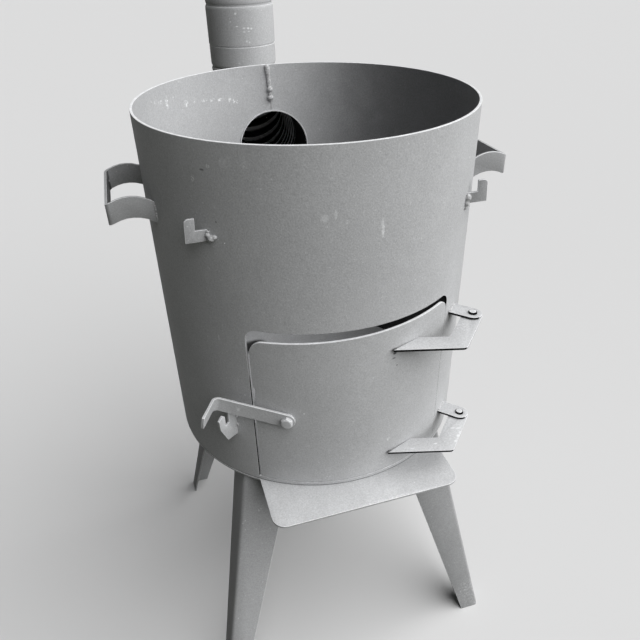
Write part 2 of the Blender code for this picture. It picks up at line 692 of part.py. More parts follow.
def tube_along(name, points, radii, sides, into=PARTS):
    """Solid tube along points, with a radius at each."""
    curve = bpy.data.curves.new(name, "CURVE")
    curve.dimensions = "3D"
    curve.bevel_depth = 1.0
    curve.bevel_resolution = (sides - 4) // 2
    curve.use_fill_caps = True
    spline = curve.splines.new("POLY")
    spline.points.add(len(points) - 1)
    for point, place, radius in zip(spline.points, points, radii):
        point.co = (*place, 1.0)
        point.radius = radius
    return finish(solid_from_curve(name, curve, into), into)


def elbow_point(turn, bend_start):
    """Point on the elbow's centre line, with the bend's angle in degrees."""
    a = math.radians(turn)
    return (0.0, bend_start + ELBOW_BEND * math.sin(a), FLUE_HEIGHT + ELBOW_BEND * (1 - math.cos(a)))


def make_elbow():
    """Crimped bend from the back wall up to the collar, with a plain bore and a rolled ring on its neck."""
    bend_start = FLUE_SETBACK - ELBOW_BEND
    bend_end = FLUE_HEIGHT + ELBOW_BEND
    points = [(0.0, ELBOW_STUB_INSIDE, FLUE_HEIGHT), (0.0, bend_start - CRIMP_LEAD, FLUE_HEIGHT)]
    radii = [ELBOW_RADIUS, ELBOW_RADIUS]
    for i in range(4 * CRIMPS + 1):
        points.append(elbow_point(90.0 * i / (4 * CRIMPS), bend_start))
        radii.append(ELBOW_RADIUS + CRIMP_HEIGHT * (0.0, 0.7, 1.0, 0.7)[i % 4])
    for share, swell in ((-0.5, 0.0), (-0.3, 0.8), (0.0, 1.0), (0.3, 0.8), (0.5, 0.0)):
        points.append((0.0, FLUE_SETBACK, bend_end + RING_PLACE + RING_LENGTH * (0.5 + share)))
        radii.append(ELBOW_RADIUS - GAP + swell * RING_HEIGHT)
    neck_top = bend_end + ELBOW_NECK
    points.append((0.0, FLUE_SETBACK, neck_top))
    radii.append(ELBOW_RADIUS)
    elbow = tube_along("flue_elbow", points, radii, 32)
    bore = [(0.0, ELBOW_STUB_INSIDE - ELBOW_BORE_SPARE, FLUE_HEIGHT)]
    bore += [elbow_point(7.5 * i, bend_start) for i in range(13)]
    bore.append((0.0, FLUE_SETBACK, neck_top + ELBOW_BORE_SPARE))
    cut(elbow, tube_along("elbow_bore", bore, [ELBOW_RADIUS - FLUE_WALL] * len(bore), 32, CUTTERS))
    cut(elbow, INSIDE_DRUM)
    return neck_top


def make_collar(neck_top):
    """Socket round the elbow's neck, wider inside above it, where the pipe stands."""
    bottom = FLUE_HEIGHT + ELBOW_BEND + COLLAR_START
    step = bottom + COLLAR_STEP
    top = bottom + COLLAR_LENGTH
    bore_low = ELBOW_RADIUS + GAP
    bore_high = PIPE_RADIUS + PIPE_PLAY
    outer = bore_high + COLLAR_WALL
    low = outer - COLLAR_NECKING
    soft = COLLAR_ROUNDING
    rise = COLLAR_SHOULDER
    third = COLLAR_WALL / 3
    profile = [(bore_high, top), (outer - 2 * third, top), (outer - third, top - 0.35 * rise)]
    profile += [(outer, top - rise), (outer, step + COLLAR_NECKING), (low, step - COLLAR_NECKING)]
    profile += [(low, bottom + soft), (low - third, bottom + 0.4 * soft), (low - 2.4 * third, bottom)]
    profile += [(bore_low, bottom), (bore_low, neck_top), (bore_high, neck_top)]
    collar = turned("flue_collar", profile, 64, closed=True)
    collar.location = (0.0, FLUE_SETBACK, 0.0)
    return top


def make_pipe(neck_top, collar_top):
    """Pipe that stands on the elbow's neck inside the collar, with a bead just above the collar."""
    bottom = neck_top + GAP
    top = bottom + PIPE_LENGTH
    bore = PIPE_RADIUS - FLUE_WALL
    bead = collar_top + GAP + PIPE_BEAD_EASE
    wide = PIPE_RADIUS + PIPE_BEAD
    profile = [(PIPE_RADIUS, top), (PIPE_RADIUS, bead + PIPE_BEAD_HEIGHT + PIPE_BEAD_EASE),
               (wide, bead + PIPE_BEAD_HEIGHT), (wide, bead + PIPE_BEAD_EASE), (PIPE_RADIUS, bead),
               (PIPE_RADIUS, bottom), (bore, bottom), (bore, top)]
    pipe = turned("flue_pipe", profile, 64, closed=True)
    pipe.location = (0.0, FLUE_SETBACK, 0.0)


def make_stove():
    make_drum()
    make_seam_weld()
    make_floor()
    for place, angle in LEG_ANGLES.items():
        make_leg("leg_" + place, angle)
    for side, sign in (("left", -1), ("right", 1)):
        make_handle("handle_" + side, sign)
        make_hook(side, sign)
        make_hook_weld(side, sign)
    make_door()
    for level, arm_top in HINGE_HEIGHTS.items():
        make_lug("hinge_lug_" + level, arm_top)
        make_pin("hinge_pin_" + level, arm_top)
        make_arm("hinge_arm_" + level, arm_top)
    make_bolt_set()
    make_bar()
    make_catch()
    neck_top = make_elbow()
    collar_top = make_collar(neck_top)
    make_pipe(neck_top, collar_top)


make_stove()
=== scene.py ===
# %% [markdown]
# # A kazan stove in grey heat paint
# This lesson dresses a packed CAD model of a camp stove: an open steel drum that a round-bottomed
# cauldron hangs in, with a fire door, a latch, a shelf and a flue. The CAD frame gives every size and
# place. The script adds what the solids leave out: eased edges, weld beads, crimps and paint.

import math
import random

import bmesh
import bpy
from mathutils import Matrix, Vector, noise


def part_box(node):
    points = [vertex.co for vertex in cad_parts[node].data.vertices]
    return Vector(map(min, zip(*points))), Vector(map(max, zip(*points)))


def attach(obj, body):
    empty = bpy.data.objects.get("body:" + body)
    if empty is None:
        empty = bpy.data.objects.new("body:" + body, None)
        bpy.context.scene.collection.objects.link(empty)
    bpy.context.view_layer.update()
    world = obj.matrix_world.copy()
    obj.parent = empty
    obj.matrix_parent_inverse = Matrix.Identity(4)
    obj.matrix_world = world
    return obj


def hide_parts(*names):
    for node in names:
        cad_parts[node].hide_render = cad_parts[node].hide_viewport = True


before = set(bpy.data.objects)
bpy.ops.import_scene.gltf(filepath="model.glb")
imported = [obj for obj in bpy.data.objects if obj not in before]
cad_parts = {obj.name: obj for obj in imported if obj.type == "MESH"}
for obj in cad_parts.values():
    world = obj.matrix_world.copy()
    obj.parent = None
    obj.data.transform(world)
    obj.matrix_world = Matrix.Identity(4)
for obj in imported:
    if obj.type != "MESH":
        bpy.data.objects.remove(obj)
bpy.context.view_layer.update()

# %% [markdown]
# ## Camera and light
# The camera was fitted to the photograph: it looks down on the stove from the left of the door. The
# light there is a bright sky to the right and above, so one broad sun does most of the work, and the
# world only fills the shade. The floor and the sky look pale to the camera, but send little light
# back, because a lawn and trees would not.

# %% Camera
RIM = 0.4393
GROUND = -0.355
EYE_PLACE = (-0.1966, -0.7117, RIM + 0.16192)
LOOK_ASIDE = -16.2
LOOK_DOWN = 32.80
LEAN = -1.43
LENS_MM = 34.22


def linked(name, data):
    made = bpy.data.objects.new(name, data)
    bpy.context.scene.collection.objects.link(made)
    return made


def rotation(degrees, axis):
    return Matrix.Rotation(math.radians(degrees), 4, axis)


eye_data = bpy.data.cameras.new("eye")
eye_data.sensor_width = 36.0
eye_data.lens = LENS_MM
eye_data.clip_start = 0.01
eye_data.clip_end = 200.0
eye = linked("eye", eye_data)
aim = rotation(LOOK_ASIDE, "Z") @ rotation(90.0 - LOOK_DOWN, "X") @ rotation(LEAN, "Z")
eye.matrix_world = Matrix.Translation(EYE_PLACE) @ aim
bpy.context.scene.camera = eye
bpy.context.scene.view_settings.view_transform = "Standard"
print("camera height over the floor, m:", round(eye.location.z - GROUND, 3))

# %% Sun
SUN_FROM = Vector((0.543, -0.395, 0.743))
SUN_POWER = 4.4
SUN_WIDTH = 85.0

sun_data = bpy.data.lights.new("broad_sun", "SUN")
sun_data.energy = SUN_POWER
sun_data.angle = math.radians(SUN_WIDTH)
sun = linked("broad_sun", sun_data)
sun.rotation_mode = "QUATERNION"
sun.rotation_quaternion = SUN_FROM.to_track_quat("Z", "Y")
print("sun elevation, degrees:", round(math.degrees(math.asin(SUN_FROM.normalized().z))))

# %% [markdown]
# ## A short way to write materials
# A shader's maths is easier to read as a sum than as a row of nodes. A Term wraps a socket, so that
# +, -, * and / on it add Math nodes. A Sheet holds one material and makes every other node.


# %% Terms and sheets
class Term:
    """A node socket that takes part in sums written in Python."""

    def __init__(self, sheet, socket):
        self.sheet = sheet
        self.socket = socket

    def __add__(self, other):
        return self.sheet.sum("ADD", self, other)

    def __sub__(self, other):
        return self.sheet.sum("SUBTRACT", self, other)

    def __rsub__(self, other):
        return self.sheet.sum("SUBTRACT", other, self)

    def __mul__(self, other):
        return self.sheet.sum("MULTIPLY", self, other)

    def __truediv__(self, other):
        return self.sheet.sum("DIVIDE", self, other)

    __radd__ = __add__
    __rmul__ = __mul__


class Sheet:
    """The node tree of one material or world."""

    def __init__(self, name, tree=None):
        if tree is None:
            self.material = bpy.data.materials.new(name)
            self.material.use_nodes = True
            tree = self.material.node_tree
            self.shader = tree.nodes["Principled BSDF"]
        self.tree = tree

    def node(self, kind, settings=(), inputs=(), out=0):
        made = self.tree.nodes.new(kind)
        for key, value in dict(settings).items():
            setattr(made, key, value)
        for key, value in dict(inputs).items():
            self.feed(made.inputs[key], value)
        return Term(self, made.outputs[out])

    def feed(self, socket, value):
        if isinstance(value, Term):
            self.tree.links.new(value.socket, socket)
        else:
            socket.default_value = value

    def sum(self, operation, *values):
        return self.node("ShaderNodeMath", {"operation": operation}, dict(enumerate(values)))

    def vector(self, operation, *values, out=0):
        return self.node("ShaderNodeVectorMath", {"operation": operation}, dict(enumerate(values)), out)

    def mix(self, share, first, second):
        return self.node("ShaderNodeMix", {"data_type": "RGBA"}, {0: share, 6: first, 7: second}, out=2)

    def place(self):
        return self.node("ShaderNodeTexCoord", out="Object")

    def axes(self):
        """The three coordinates as Terms."""
        apart = self.tree.nodes.new("ShaderNodeSeparateXYZ")
        self.feed(apart.inputs[0], self.place())
        return [Term(self, apart.outputs[i]) for i in range(3)]

    def noise(self, size, detail=2.0, rough=0.5, stretch=(1.0, 1.0, 1.0)):
        """Noise whose lumps are about size metres across."""
        inputs = {"Vector": self.vector("MULTIPLY", self.place(), stretch), "Scale": 1.0 / size,
                  "Detail": detail, "Roughness": rough}
        return self.node("ShaderNodeTexNoise", {}, inputs, out="Fac")

    def step(self, value, low, high):
        """0 at low and 1 at high, with soft ends. Low may be the larger number."""
        flip = low > high
        inputs = {"Value": value, "From Min": min(low, high), "From Max": max(low, high)}
        rise = self.node("ShaderNodeMapRange", {"interpolation_type": "SMOOTHSTEP"}, inputs)
        return 1.0 - rise if flip else rise

    def spot(self, centre, size):
        """1 in the middle of an ellipsoid, 0 outside it."""
        scaled = self.vector("DIVIDE", self.vector("SUBTRACT", self.place(), centre), size)
        return self.step(self.vector("LENGTH", scaled, out="Value"), 1.0, 0.35)

    def bump(self, height, distance, strength=1.0):
        inputs = {"Strength": strength, "Distance": distance, "Height": height}
        return self.node("ShaderNodeBump", {}, inputs, out="Normal")

    def coat(self, colour, roughness, specular, normal=None):
        """Feed the shader, with plain numbers set on its own sockets, and hand back the material."""
        feeds = {"Base Color": colour, "Roughness": roughness, "Specular IOR Level": specular,
                 "Normal": normal}
        for name, value in feeds.items():
            if value is not None:
                self.feed(self.shader.inputs[name], value)
        return self.material


def grey(level, tint=(1.0, 1.0, 1.0)):
    """A colour from one level, with a slight tint."""
    return (level * tint[0], level * tint[1], level * tint[2], 1.0)


print("node makers:", [name for name in vars(Sheet) if not name.startswith("_")])


# %% World and floor
SKY_SEEN, SKY_GIVEN = grey(0.80), grey(0.035, (0.96, 1.0, 1.06))
FLOOR_SEEN, FLOOR_GIVEN = grey(0.66), grey(0.05, (1.0, 1.04, 0.80))
FLOOR_HALF = 60.0


def pale_for_camera(sheet, seen, given):
    """One colour for the camera and for reflections, another for the light that is given off."""
    rays = sheet.tree.nodes.new("ShaderNodeLightPath")
    looks = Term(sheet, rays.outputs["Is Camera Ray"])
    looks = sheet.sum("MAXIMUM", looks, Term(sheet, rays.outputs["Is Glossy Ray"]))
    looks = sheet.sum("MAXIMUM", looks, Term(sheet, rays.outputs["Is Transmission Ray"]))
    return sheet.mix(looks, given, seen)


world = bpy.data.worlds.new("pale_sky")
world.use_nodes = True
bpy.context.scene.world = world
sky = Sheet("sky", world.node_tree)
sky_colour = pale_for_camera(sky, SKY_SEEN, SKY_GIVEN)
sky.feed(world.node_tree.nodes["Background"].inputs["Color"], sky_colour)

floor_sheet = Sheet("pale_floor")
floor_paint = floor_sheet.coat(pale_for_camera(floor_sheet, FLOOR_SEEN, FLOOR_GIVEN), 0.9, 0.1)
floor_mesh = bpy.data.meshes.new("floor")
corners = [(x * FLOOR_HALF, y * FLOOR_HALF, GROUND) for x, y in ((-1, -1), (1, -1), (1, 1), (-1, 1))]
floor_mesh.from_pydata(corners, [], [(0, 1, 2, 3)])
floor_mesh.materials.append(floor_paint)
floor = linked("floor", floor_mesh)
print("floor at, m:", GROUND)

# %% [markdown]
# ## The paint
# The whole stove wears one coat of grey heat paint. It dries matt, with a fine sandy grain, and in
# broad soft patches where the spray lay thicker. Edges lose some of it, and fingers, pots and sparks
# leave pale scuffs. Every piece gets the same recipe with its own marks, so the patches run on from
# one piece to the next as they do on an object that was sprayed whole.

# %% Paint recipe
PAINT = 0.520
COOL = (0.990, 1.0, 1.015)


def stroke(start, end, width, strength):
    """Mark that covers the straight run between two places."""
    start, end = Vector(start), Vector(end)
    return (start + end) / 2.0, [abs(v) * 0.65 + width for v in end - start], strength


def heat_paint(name, level=PAINT, grain=1.0, marks=(), streaks=0.0, lines=(), dark_marks=(), painted_shade=None):
    """Matt paint. Marks are (centre, size, strength). Past 1, a strength leaves no gaps in a pale mark."""
    sheet = Sheet(name)
    broad = sheet.noise(0.120, 3.0)
    patch = sheet.noise(0.012, 4.0, 0.62)
    grit = sheet.noise(0.0018, 3.0, 0.70)
    tone = 0.5 + (broad - 0.5) * 0.70 + (patch - 0.5) * 0.28 + (grit - 0.5) * 1.90
    if streaks:
        tone = tone + (sheet.noise(0.012, 3.0, 0.6, (1.0, 0.12, 1.0)) - 0.5) * streaks
    colour = sheet.mix(tone, grey(level * 0.80, COOL), grey(level * 1.20, COOL))
    speck = sheet.step(sheet.noise(0.0030, 1.0), 0.735, 0.79)
    colour = sheet.mix(speck * 0.45, colour, grey(0.85, COOL))
    smear = sheet.step(sheet.noise(0.0030, 4.0, 0.75), 0.46, 0.60)
    for centre, size, strength in marks:
        cover = smear * strength if strength <= 1.0 else strength - 1.0
        colour = sheet.mix(sheet.spot(centre, size) * cover, colour, grey(0.92, COOL))
    for centre, size, strength in dark_marks:
        colour = sheet.mix(sheet.spot(centre, size) * strength, colour, grey(0.04))
    height = grit + patch * 0.5
    for make in lines:
        line = make(sheet)
        colour = sheet.mix(line * 0.55, colour, grey(level * 0.40))
        height = height - line * 1.6
    # A mask of painted shade darkens the paint towards near black.
    if painted_shade:
        colour = sheet.mix(painted_shade(sheet), colour, grey(0.012))
    roughness = 0.58 + patch * 0.14 - broad * 0.06
    return sheet.coat(colour, roughness, 0.08, sheet.bump(height, 0.00034 * grain, 0.6))


def worn_edge(name, level=0.86):
    """Where the coat is thin over an edge, and rubbed through to steel in places."""
    sheet = Sheet(name)
    rub = sheet.step(sheet.noise(0.0070, 4.0, 0.7), 0.46, 0.62)
    grit = sheet.noise(0.0009, 2.0, 0.6)
    colour = sheet.mix(rub, grey(level * 0.86, COOL), grey(level, COOL))
    return sheet.coat(colour, 0.56 - rub * 0.18, 0.25, sheet.bump(grit, 0.0001, 0.5))


def weld_skin(name, level=0.480):
    """Paint over a rough weld: darker in the hollows, with a little shine on the lumps."""
    sheet = Sheet(name)
    lump = sheet.noise(0.0022, 3.0, 0.6)
    grit = sheet.noise(0.0007, 2.0, 0.6)
    colour = sheet.mix(sheet.step(lump, 0.35, 0.65), grey(level * 0.75), grey(level * 1.30, COOL))
    return sheet.coat(colour, 0.55 - lump * 0.16, 0.25, sheet.bump(lump + grit * 0.4, 0.0003, 0.6))


def painted_shade_coat(name, light_above=None):
    """Near-black that paints shade in gaps and on sides turned from the light. Above a height, on the latch
    side, plain paint shows.
    """
    sheet = Sheet(name)
    colour = grey(0.016)
    if light_above is not None:
        x, _, z = sheet.axes()
        ragged = (sheet.noise(0.006, 3.0) - 0.5) * 0.016
        unshaded = sheet.step(z + ragged, light_above - 0.004, light_above + 0.004)
        unshaded = unshaded * sheet.step(x, -0.10, -0.11)
        colour = sheet.mix(unshaded, colour, grey(PAINT * 0.9, COOL))
    return sheet.coat(colour, 0.8, 0.05)


PLAIN = heat_paint("paint_plain")
EDGE = worn_edge("paint_worn_edge")
WELD = weld_skin("paint_over_weld")
# A very dark weld skin for the arm tips.
DARK_TIP_WELD = weld_skin("weld_dark_tip", 0.09)
# Near-black material that paints shade.
SHADE_BLACK = painted_shade_coat("painted_shade_black")
print("paint level in sRGB:", round(255 * (1.055 * PAINT ** (1 / 2.4) - 0.055)))

# %% [markdown]
# ## From solids to pieces
# A CAD solid has dead sharp edges, which no cut sheet has. Each piece therefore ends in a narrow
# bevel whose faces carry the worn coat, and that thin bright line is what makes sheet steel read as
# steel. Plain brackets are copies of their solids, merged and bevelled. Pieces with long curves are
# made anew from the same sizes, with more facets.


# %% Helpers for pieces
def outward(angle):
    """Unit vector away from the drum's axis, at an angle from the door's side."""
    a = math.radians(angle)
    return Vector((math.sin(a), -math.cos(a), 0.0))


def sideways(angle):
    """Unit vector along the drum's wall."""
    a = math.radians(angle)
    return Vector((math.cos(a), math.sin(a), 0.0))


def on_wall(radius, angle, height):
    return outward(angle) * radius + Vector((0.0, 0.0, height))


def wall_strokes(radius, rows, back=0.0):
    """Strokes on a round wall from rows of angle, height, angle, height, width and strength."""
    shift = Vector((0.0, back, 0.0))
    return [stroke(on_wall(radius, a, low) + shift, on_wall(radius, b, high) + shift, width, strength)
            for a, low, b, high, width, strength in rows]


def arc(centre, radii, first, step, count):
    """Points on an ellipse, from its first angle on, in steps of some degrees."""
    turns = [math.radians(first + step * i) for i in range(count)]
    return [(centre[0] + radii[0] * math.cos(a), centre[1] + radii[1] * math.sin(a)) for a in turns]


def drop(*objects):
    for obj in objects:
        bpy.data.objects.remove(obj, do_unlink=True)


def from_bmesh(name, bm):
    data = bpy.data.meshes.new(name)
    bm.to_mesh(data)
    bm.free()
    return linked(name, data)


def settled(obj):
    """A new plain mesh object, at the origin, from an object with its modifiers and its place."""
    bpy.context.view_layer.update()
    graph = bpy.context.evaluated_depsgraph_get()
    ready = obj.evaluated_get(graph)
    data = bpy.data.meshes.new_from_object(ready, preserve_all_data_layers=True, depsgraph=graph)
    data.transform(obj.matrix_world)
    name = obj.name
    drop(obj)
    made = linked(name, data)
    made.name = name
    return made


def modify(obj, kind, **settings):
    """Add a modifier with its settings."""
    step = obj.modifiers.new(kind.lower(), kind)
    for key, value in settings.items():
        setattr(step, key, value)
    return step


def tidied(obj):
    """Merge doubled points and flat neighbours, so that a bevel finds clean edges."""
    bm = bmesh.new()
    bm.from_mesh(obj.data)
    bmesh.ops.remove_doubles(bm, verts=bm.verts, dist=2e-5)
    bmesh.ops.dissolve_limit(bm, angle_limit=math.radians(0.4), verts=bm.verts, edges=bm.edges)
    bm.to_mesh(obj.data)
    bm.free()
    return obj


def carved(obj, *tools, operation="DIFFERENCE"):
    """Cut a piece with closed tools, which are used up, and tidy its faces."""
    for tool in tools:
        modify(obj, "BOOLEAN", operation=operation, solver="EXACT", object=tool)
    made = settled(obj)
    drop(*tools)
    return tidied(made)


def dress(obj, body, nodes=(), paint=PLAIN, edge=EDGE, width=0.00045, segments=2, highlight_tops=False,
          black=SHADE_BLACK, is_black=None):
    """Bevel a piece, give it its paint and hang it on its body.

    One flag gives the cut faces that look up the pale worn-edge colour, as a painted highlight. Faces that
    is_black picks carry the black material, which by default is painted shade.
    """
    obj.data.materials.clear()
    obj.data.materials.append(paint)
    obj.data.materials.append(edge)
    for face in obj.data.polygons:
        face.material_index = 1 if highlight_tops and face.normal.z > 0.9 else 0
        face.use_smooth = True
    if width:
        modify(obj, "BEVEL", width=width, segments=segments, limit_method="ANGLE", material=1,
               angle_limit=math.radians(32.0), use_clamp_overlap=False, harden_normals=True)
    obj = settled(obj)
    if is_black:
        obj.data.materials.append(black)
        for face in obj.data.polygons:
            if is_black(face):
                face.material_index = 2
    return hang(obj, body, nodes)


def cut_side(face):
    """Cut faces of the opening and the door, apart from those that look up."""
    away = Vector((face.center.x, face.center.y, 0.0)).normalized()
    return face.normal.z < 0.45 and abs(face.normal.dot(away)) < 0.80 and face.center.z > 0.005


def shaded_side(face):
    """Sides of a flat bracket that look away from the light."""
    return abs(face.normal.z) < 0.75 and face.normal.dot(Vector((0.81, -0.59, 0.0))) < 0.72


def hang(obj, body, nodes=()):
    """Parent a piece to its body's empty, and hide the CAD solids that it stands for."""
    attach(obj, body)
    if nodes:
        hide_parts(*nodes)
    return obj


def copy_of(node, name):
    """A merged copy of a CAD solid."""
    made = linked(name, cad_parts[node].data.copy())
    made.data.transform(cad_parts[node].matrix_world)
    return tidied(made)


def dress_copy(node, body, paint, **looks):
    """Dress a copy of a CAD solid, with the solid's own name."""
    return dress(copy_of(node, node + "_piece"), body, [node], paint, **looks)


print("nodes:", len(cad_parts))


# %% Makers of turned and rolled sheet
def skirt(bm, here, there):
    """Faces between two closed rows of points."""
    for j in range(len(here)):
        k = (j + 1) % len(here)
        bm.faces.new((here[j], here[k], there[k], there[j]))


def turned(name, profile, steps, centre=(0.0, 0.0)):
    """Closed ring from (radius, height) points."""
    bm = bmesh.new()
    rings = []
    for i in range(steps):
        a = 2.0 * math.pi * i / steps
        x, y = math.cos(a), math.sin(a)
        rings.append([bm.verts.new((centre[0] + r * x, centre[1] + r * y, z)) for r, z in profile])
    for i in range(steps):
        skirt(bm, rings[i], rings[(i + 1) % steps])
    bmesh.ops.recalc_face_normals(bm, faces=bm.faces)
    return from_bmesh(name, bm)


def round_tool(name, radius, depth, sides, place):
    """Closed cylinder along local Z, used as a cutter."""
    bm = bmesh.new()
    bmesh.ops.create_cone(bm, cap_ends=True, segments=sides, radius1=radius, radius2=radius, depth=depth)
    made = from_bmesh(name, bm)
    made.matrix_world = place
    return made


DRUM_RADIUS = 0.200
SHEET = 0.003
GAP = 0.0003
FINE = 240


def rolled(name, left, right, bottom, top_left, top_right, corner, radius, wall, offset):
    """Curved sheet between two places along the wall, with rounded top corners."""
    facet = 2.0 * math.pi * DRUM_RADIUS / FINE
    inner_left, inner_right = left + corner, right - corner
    turns = [10.0 * i for i in range(10)]
    places = [inner_left - corner * math.cos(math.radians(a)) for a in turns]
    places += [k * facet for k in range(-FINE, FINE) if inner_left + 2e-4 < k * facet < inner_right - 2e-4]
    places += [inner_right + corner * math.sin(math.radians(a)) for a in turns]
    bm = bmesh.new()
    upper, lower = [], []
    for s in places:
        top = top_left + (top_right - top_left) * (s - left) / (right - left)
        into = max(inner_left - s, s - inner_right, 0.0)
        top -= corner - math.sqrt(max(corner ** 2 - into ** 2, 0.0))
        x, y, _ = outward(math.degrees(s / DRUM_RADIUS)) * radius
        upper.append(bm.verts.new((x, y, top)))
        lower.append(bm.verts.new((x, y, bottom)))
    for i in range(len(places) - 1):
        bm.faces.new((lower[i], lower[i + 1], upper[i + 1], upper[i]))
    made = from_bmesh(name, bm)
    modify(made, "SOLIDIFY", thickness=wall, offset=offset, use_even_offset=True)
    return settled(made)


print("facet along the wall, mm:", round(2000 * math.pi * DRUM_RADIUS / FINE, 2))

# %% [markdown]
# ## The drum
# A sheet is rolled, butted and welded up the back. The fire opening and the flue hole are cut with a
# torch or a laser. Here the ring is turned from its wall's section, and the two holes are cut with
# closed tools, as on the real one. The inner wall carries the pale scuffs that pots leave, and the
# seam shows as a fine dark line below the weld.

# %% Drum
DRUM_BOTTOM = SHEET + GAP
OPENING_WIDTH = 0.263
OPENING_BOTTOM = DRUM_BOTTOM + 0.0060
OPENING_TOP = OPENING_BOTTOM + 0.2285
OPENING_SINKS = (0.002, 0.001)      # hand cut: the top's ends are this much low
OPENING_CORNER = 0.014
FLUE_HEIGHT = RIM - 0.116
ELBOW_RADIUS = 0.0523
inner_wall = DRUM_RADIUS - SHEET


def seam_line(sheet):
    """Fine line where the rolled sheet's two ends meet, up the back."""
    x, y, _ = sheet.axes()
    wave = (sheet.noise(0.02, 2.0) - 0.5) * 0.0012
    near = sheet.step(sheet.sum("ABSOLUTE", x + wave), 0.0009, 0.0003)
    return near * sheet.step(y, 0.10, 0.15)


def drum_painted_shade(sheet):
    """Painted shade low inside the drum and on its inner right, and painted contact shadow along its foot."""
    x, y, z = sheet.axes()
    reach = sheet.sum("SQRT", x * x + y * y)
    ragged = (sheet.noise(0.03, 3.0) - 0.5) * 0.05
    inside = sheet.step(reach, 0.1986, 0.1978)
    low = sheet.step(z + ragged, 0.330, 0.240) * sheet.step(x, -0.02, 0.09) * 0.93
    right = sheet.step(x + ragged, 0.02, 0.17) * 0.62
    base = sheet.step(z, 0.0056, 0.0040) * 0.75
    return sheet.sum("MAXIMUM", inside * sheet.sum("MAXIMUM", low, right), base)


inner_scuffs = [
    (-118.7, 0.4247, -118.7, 0.4247, 0.0024, 0.80),
    (-120.2, 0.4232, -123.6, 0.4205, 0.0014, 0.90),
    (-123.6, 0.4205, -127.0, 0.4179, 0.0014, 0.90),
    (-129.9, 0.4209, -129.0, 0.4103, 0.0030, 1.00),
    (-133.5, 0.4188, -133.5, 0.4170, 0.0016, 1.00),
    (-139.4, 0.4095, -141.3, 0.4030, 0.0020, 1.00),
    (-144.5, 0.4050, -145.7, 0.4045, 0.0018, 1.00),
    (-148.2, 0.4051, -151.8, 0.4030, 0.0016, 1.00),
    (-151.8, 0.4030, -155.7, 0.4012, 0.0014, 0.90),
    (-155.7, 0.4012, -159.2, 0.3995, 0.0018, 1.00),
    (-161.5, 0.4010, -162.4, 0.3950, 0.0016, 1.00),
    (-163.5, 0.3985, -164.1, 0.3930, 0.0016, 1.00),
    (-164.8, 0.3960, -165.6, 0.3925, 0.0018, 1.00),
    (-141.2, 0.4192, -141.2, 0.4192, 0.0018, 0.70),
    (154.2, 0.4149, 144.7, 0.4158, 0.0030, 0.25),
]
outer_scuffs = [
    (-44.14, 0.4165, -43.87, 0.4135, 0.0008, 1.50),
    (-43.54, 0.4160, -43.28, 0.4130, 0.0007, 0.80),
    (-50.1, 0.4020, -49.2, 0.3974, 0.0014, 0.90),
    (-40.2, 0.4195, -36.2, 0.4230, 0.0060, 0.22),
    (-40.0, 0.1410, -40.0, 0.1410, 0.0011, 2.00),
    (-11.7, 0.3700, -11.1, 0.3670, 0.0040, 1.30),
    (-8.4, 0.3755, -8.2, 0.3675, 0.0017, 1.36),
    (-5.2, 0.3640, -5.2, 0.3600, 0.0018, 0.40),
    (5.2, 0.3600, 5.6, 0.3530, 0.0013, 1.30),
    (5.6, 0.3530, 5.7, 0.3440, 0.0018, 1.34),
    (5.6, 0.3590, 5.6, 0.3400, 0.0026, 0.60),
    (-33.7, 0.4198, -31.7, 0.4215, 0.0040, 0.35),
    (-47.8, 0.2185, -47.8, 0.2105, 0.0016, 0.60),
    (-52.8, 0.2120, -52.8, 0.2070, 0.0014, 0.45),
]
dark_spots = [
    (-46.84, 0.4100, -45.02, 0.4112, 0.0007, 0.60),
    (-43.2, 0.3587, -43.2, 0.3587, 0.0012, 0.80),
]
drum_marks = wall_strokes(inner_wall, inner_scuffs) + wall_strokes(DRUM_RADIUS, outer_scuffs)
# The drum's paint carries painted shade inside it and along its foot.
DRUM_PAINT = heat_paint("paint_drum", marks=drum_marks, lines=[seam_line],
                        dark_marks=wall_strokes(DRUM_RADIUS, dark_spots), painted_shade=drum_painted_shade)
# The opening's cut faces are black as painted shade, with plain paint above 0.168 m on the latch side.
OPENING_SHADE = painted_shade_coat("opening_painted_shade", 0.168)

ring = [(DRUM_RADIUS, RIM), (DRUM_RADIUS, DRUM_BOTTOM), (inner_wall, DRUM_BOTTOM), (inner_wall, RIM)]
drum = turned("drum", ring, FINE)
opening = rolled("opening_tool", -OPENING_WIDTH / 2, OPENING_WIDTH / 2, OPENING_BOTTOM,
                 OPENING_TOP - OPENING_SINKS[0], OPENING_TOP - OPENING_SINKS[1], OPENING_CORNER,
                 DRUM_RADIUS, 5 * SHEET, 0.0)
flue_hole = round_tool("flue_hole_tool", ELBOW_RADIUS + GAP, DRUM_RADIUS, 96,
                       Matrix.Translation((0.0, DRUM_RADIUS, FLUE_HEIGHT)) @ rotation(90.0, "X"))
# The rim's up-facing cut face gets a painted highlight; the opening's front cut faces are painted shade.
drum = dress(carved(drum, opening, flue_hole), "stove", ["drum_shell"], DRUM_PAINT, width=0.00050,
             highlight_tops=True, black=OPENING_SHADE,
             is_black=lambda face: face.center.y < 0.0 and cut_side(face))
print("drum faces:", len(drum.data.polygons))

# %% [markdown]
# ## Weld beads
# Every bracket is held by a short run of weld. A bead is a row of overlapping puddles, so its width
# swells and narrows along its path. Geometry Nodes suit it well: one tree turns any path into a
# bead, with its width, its ripple and its seed as inputs.


# %% Geometry Nodes helpers
def open_tree(name, inputs):
    """Geometry tree with the named inputs: the tree, its sheet, and all its inputs as Terms."""
    tree = bpy.data.node_groups.new(name, "GeometryNodeTree")
    tree.interface.new_socket(name="Geometry", in_out="INPUT", socket_type="NodeSocketGeometry")
    for label, kind in inputs.items():
        tree.interface.new_socket(name=label, in_out="INPUT", socket_type="NodeSocket" + kind)
    tree.interface.new_socket(name="Geometry", in_out="OUTPUT", socket_type="NodeSocketGeometry")
    sheet = Sheet(name, tree)
    given = tree.nodes.new("NodeGroupInput")
    return tree, sheet, [Term(sheet, given.outputs[i]) for i in range(len(inputs) + 1)]


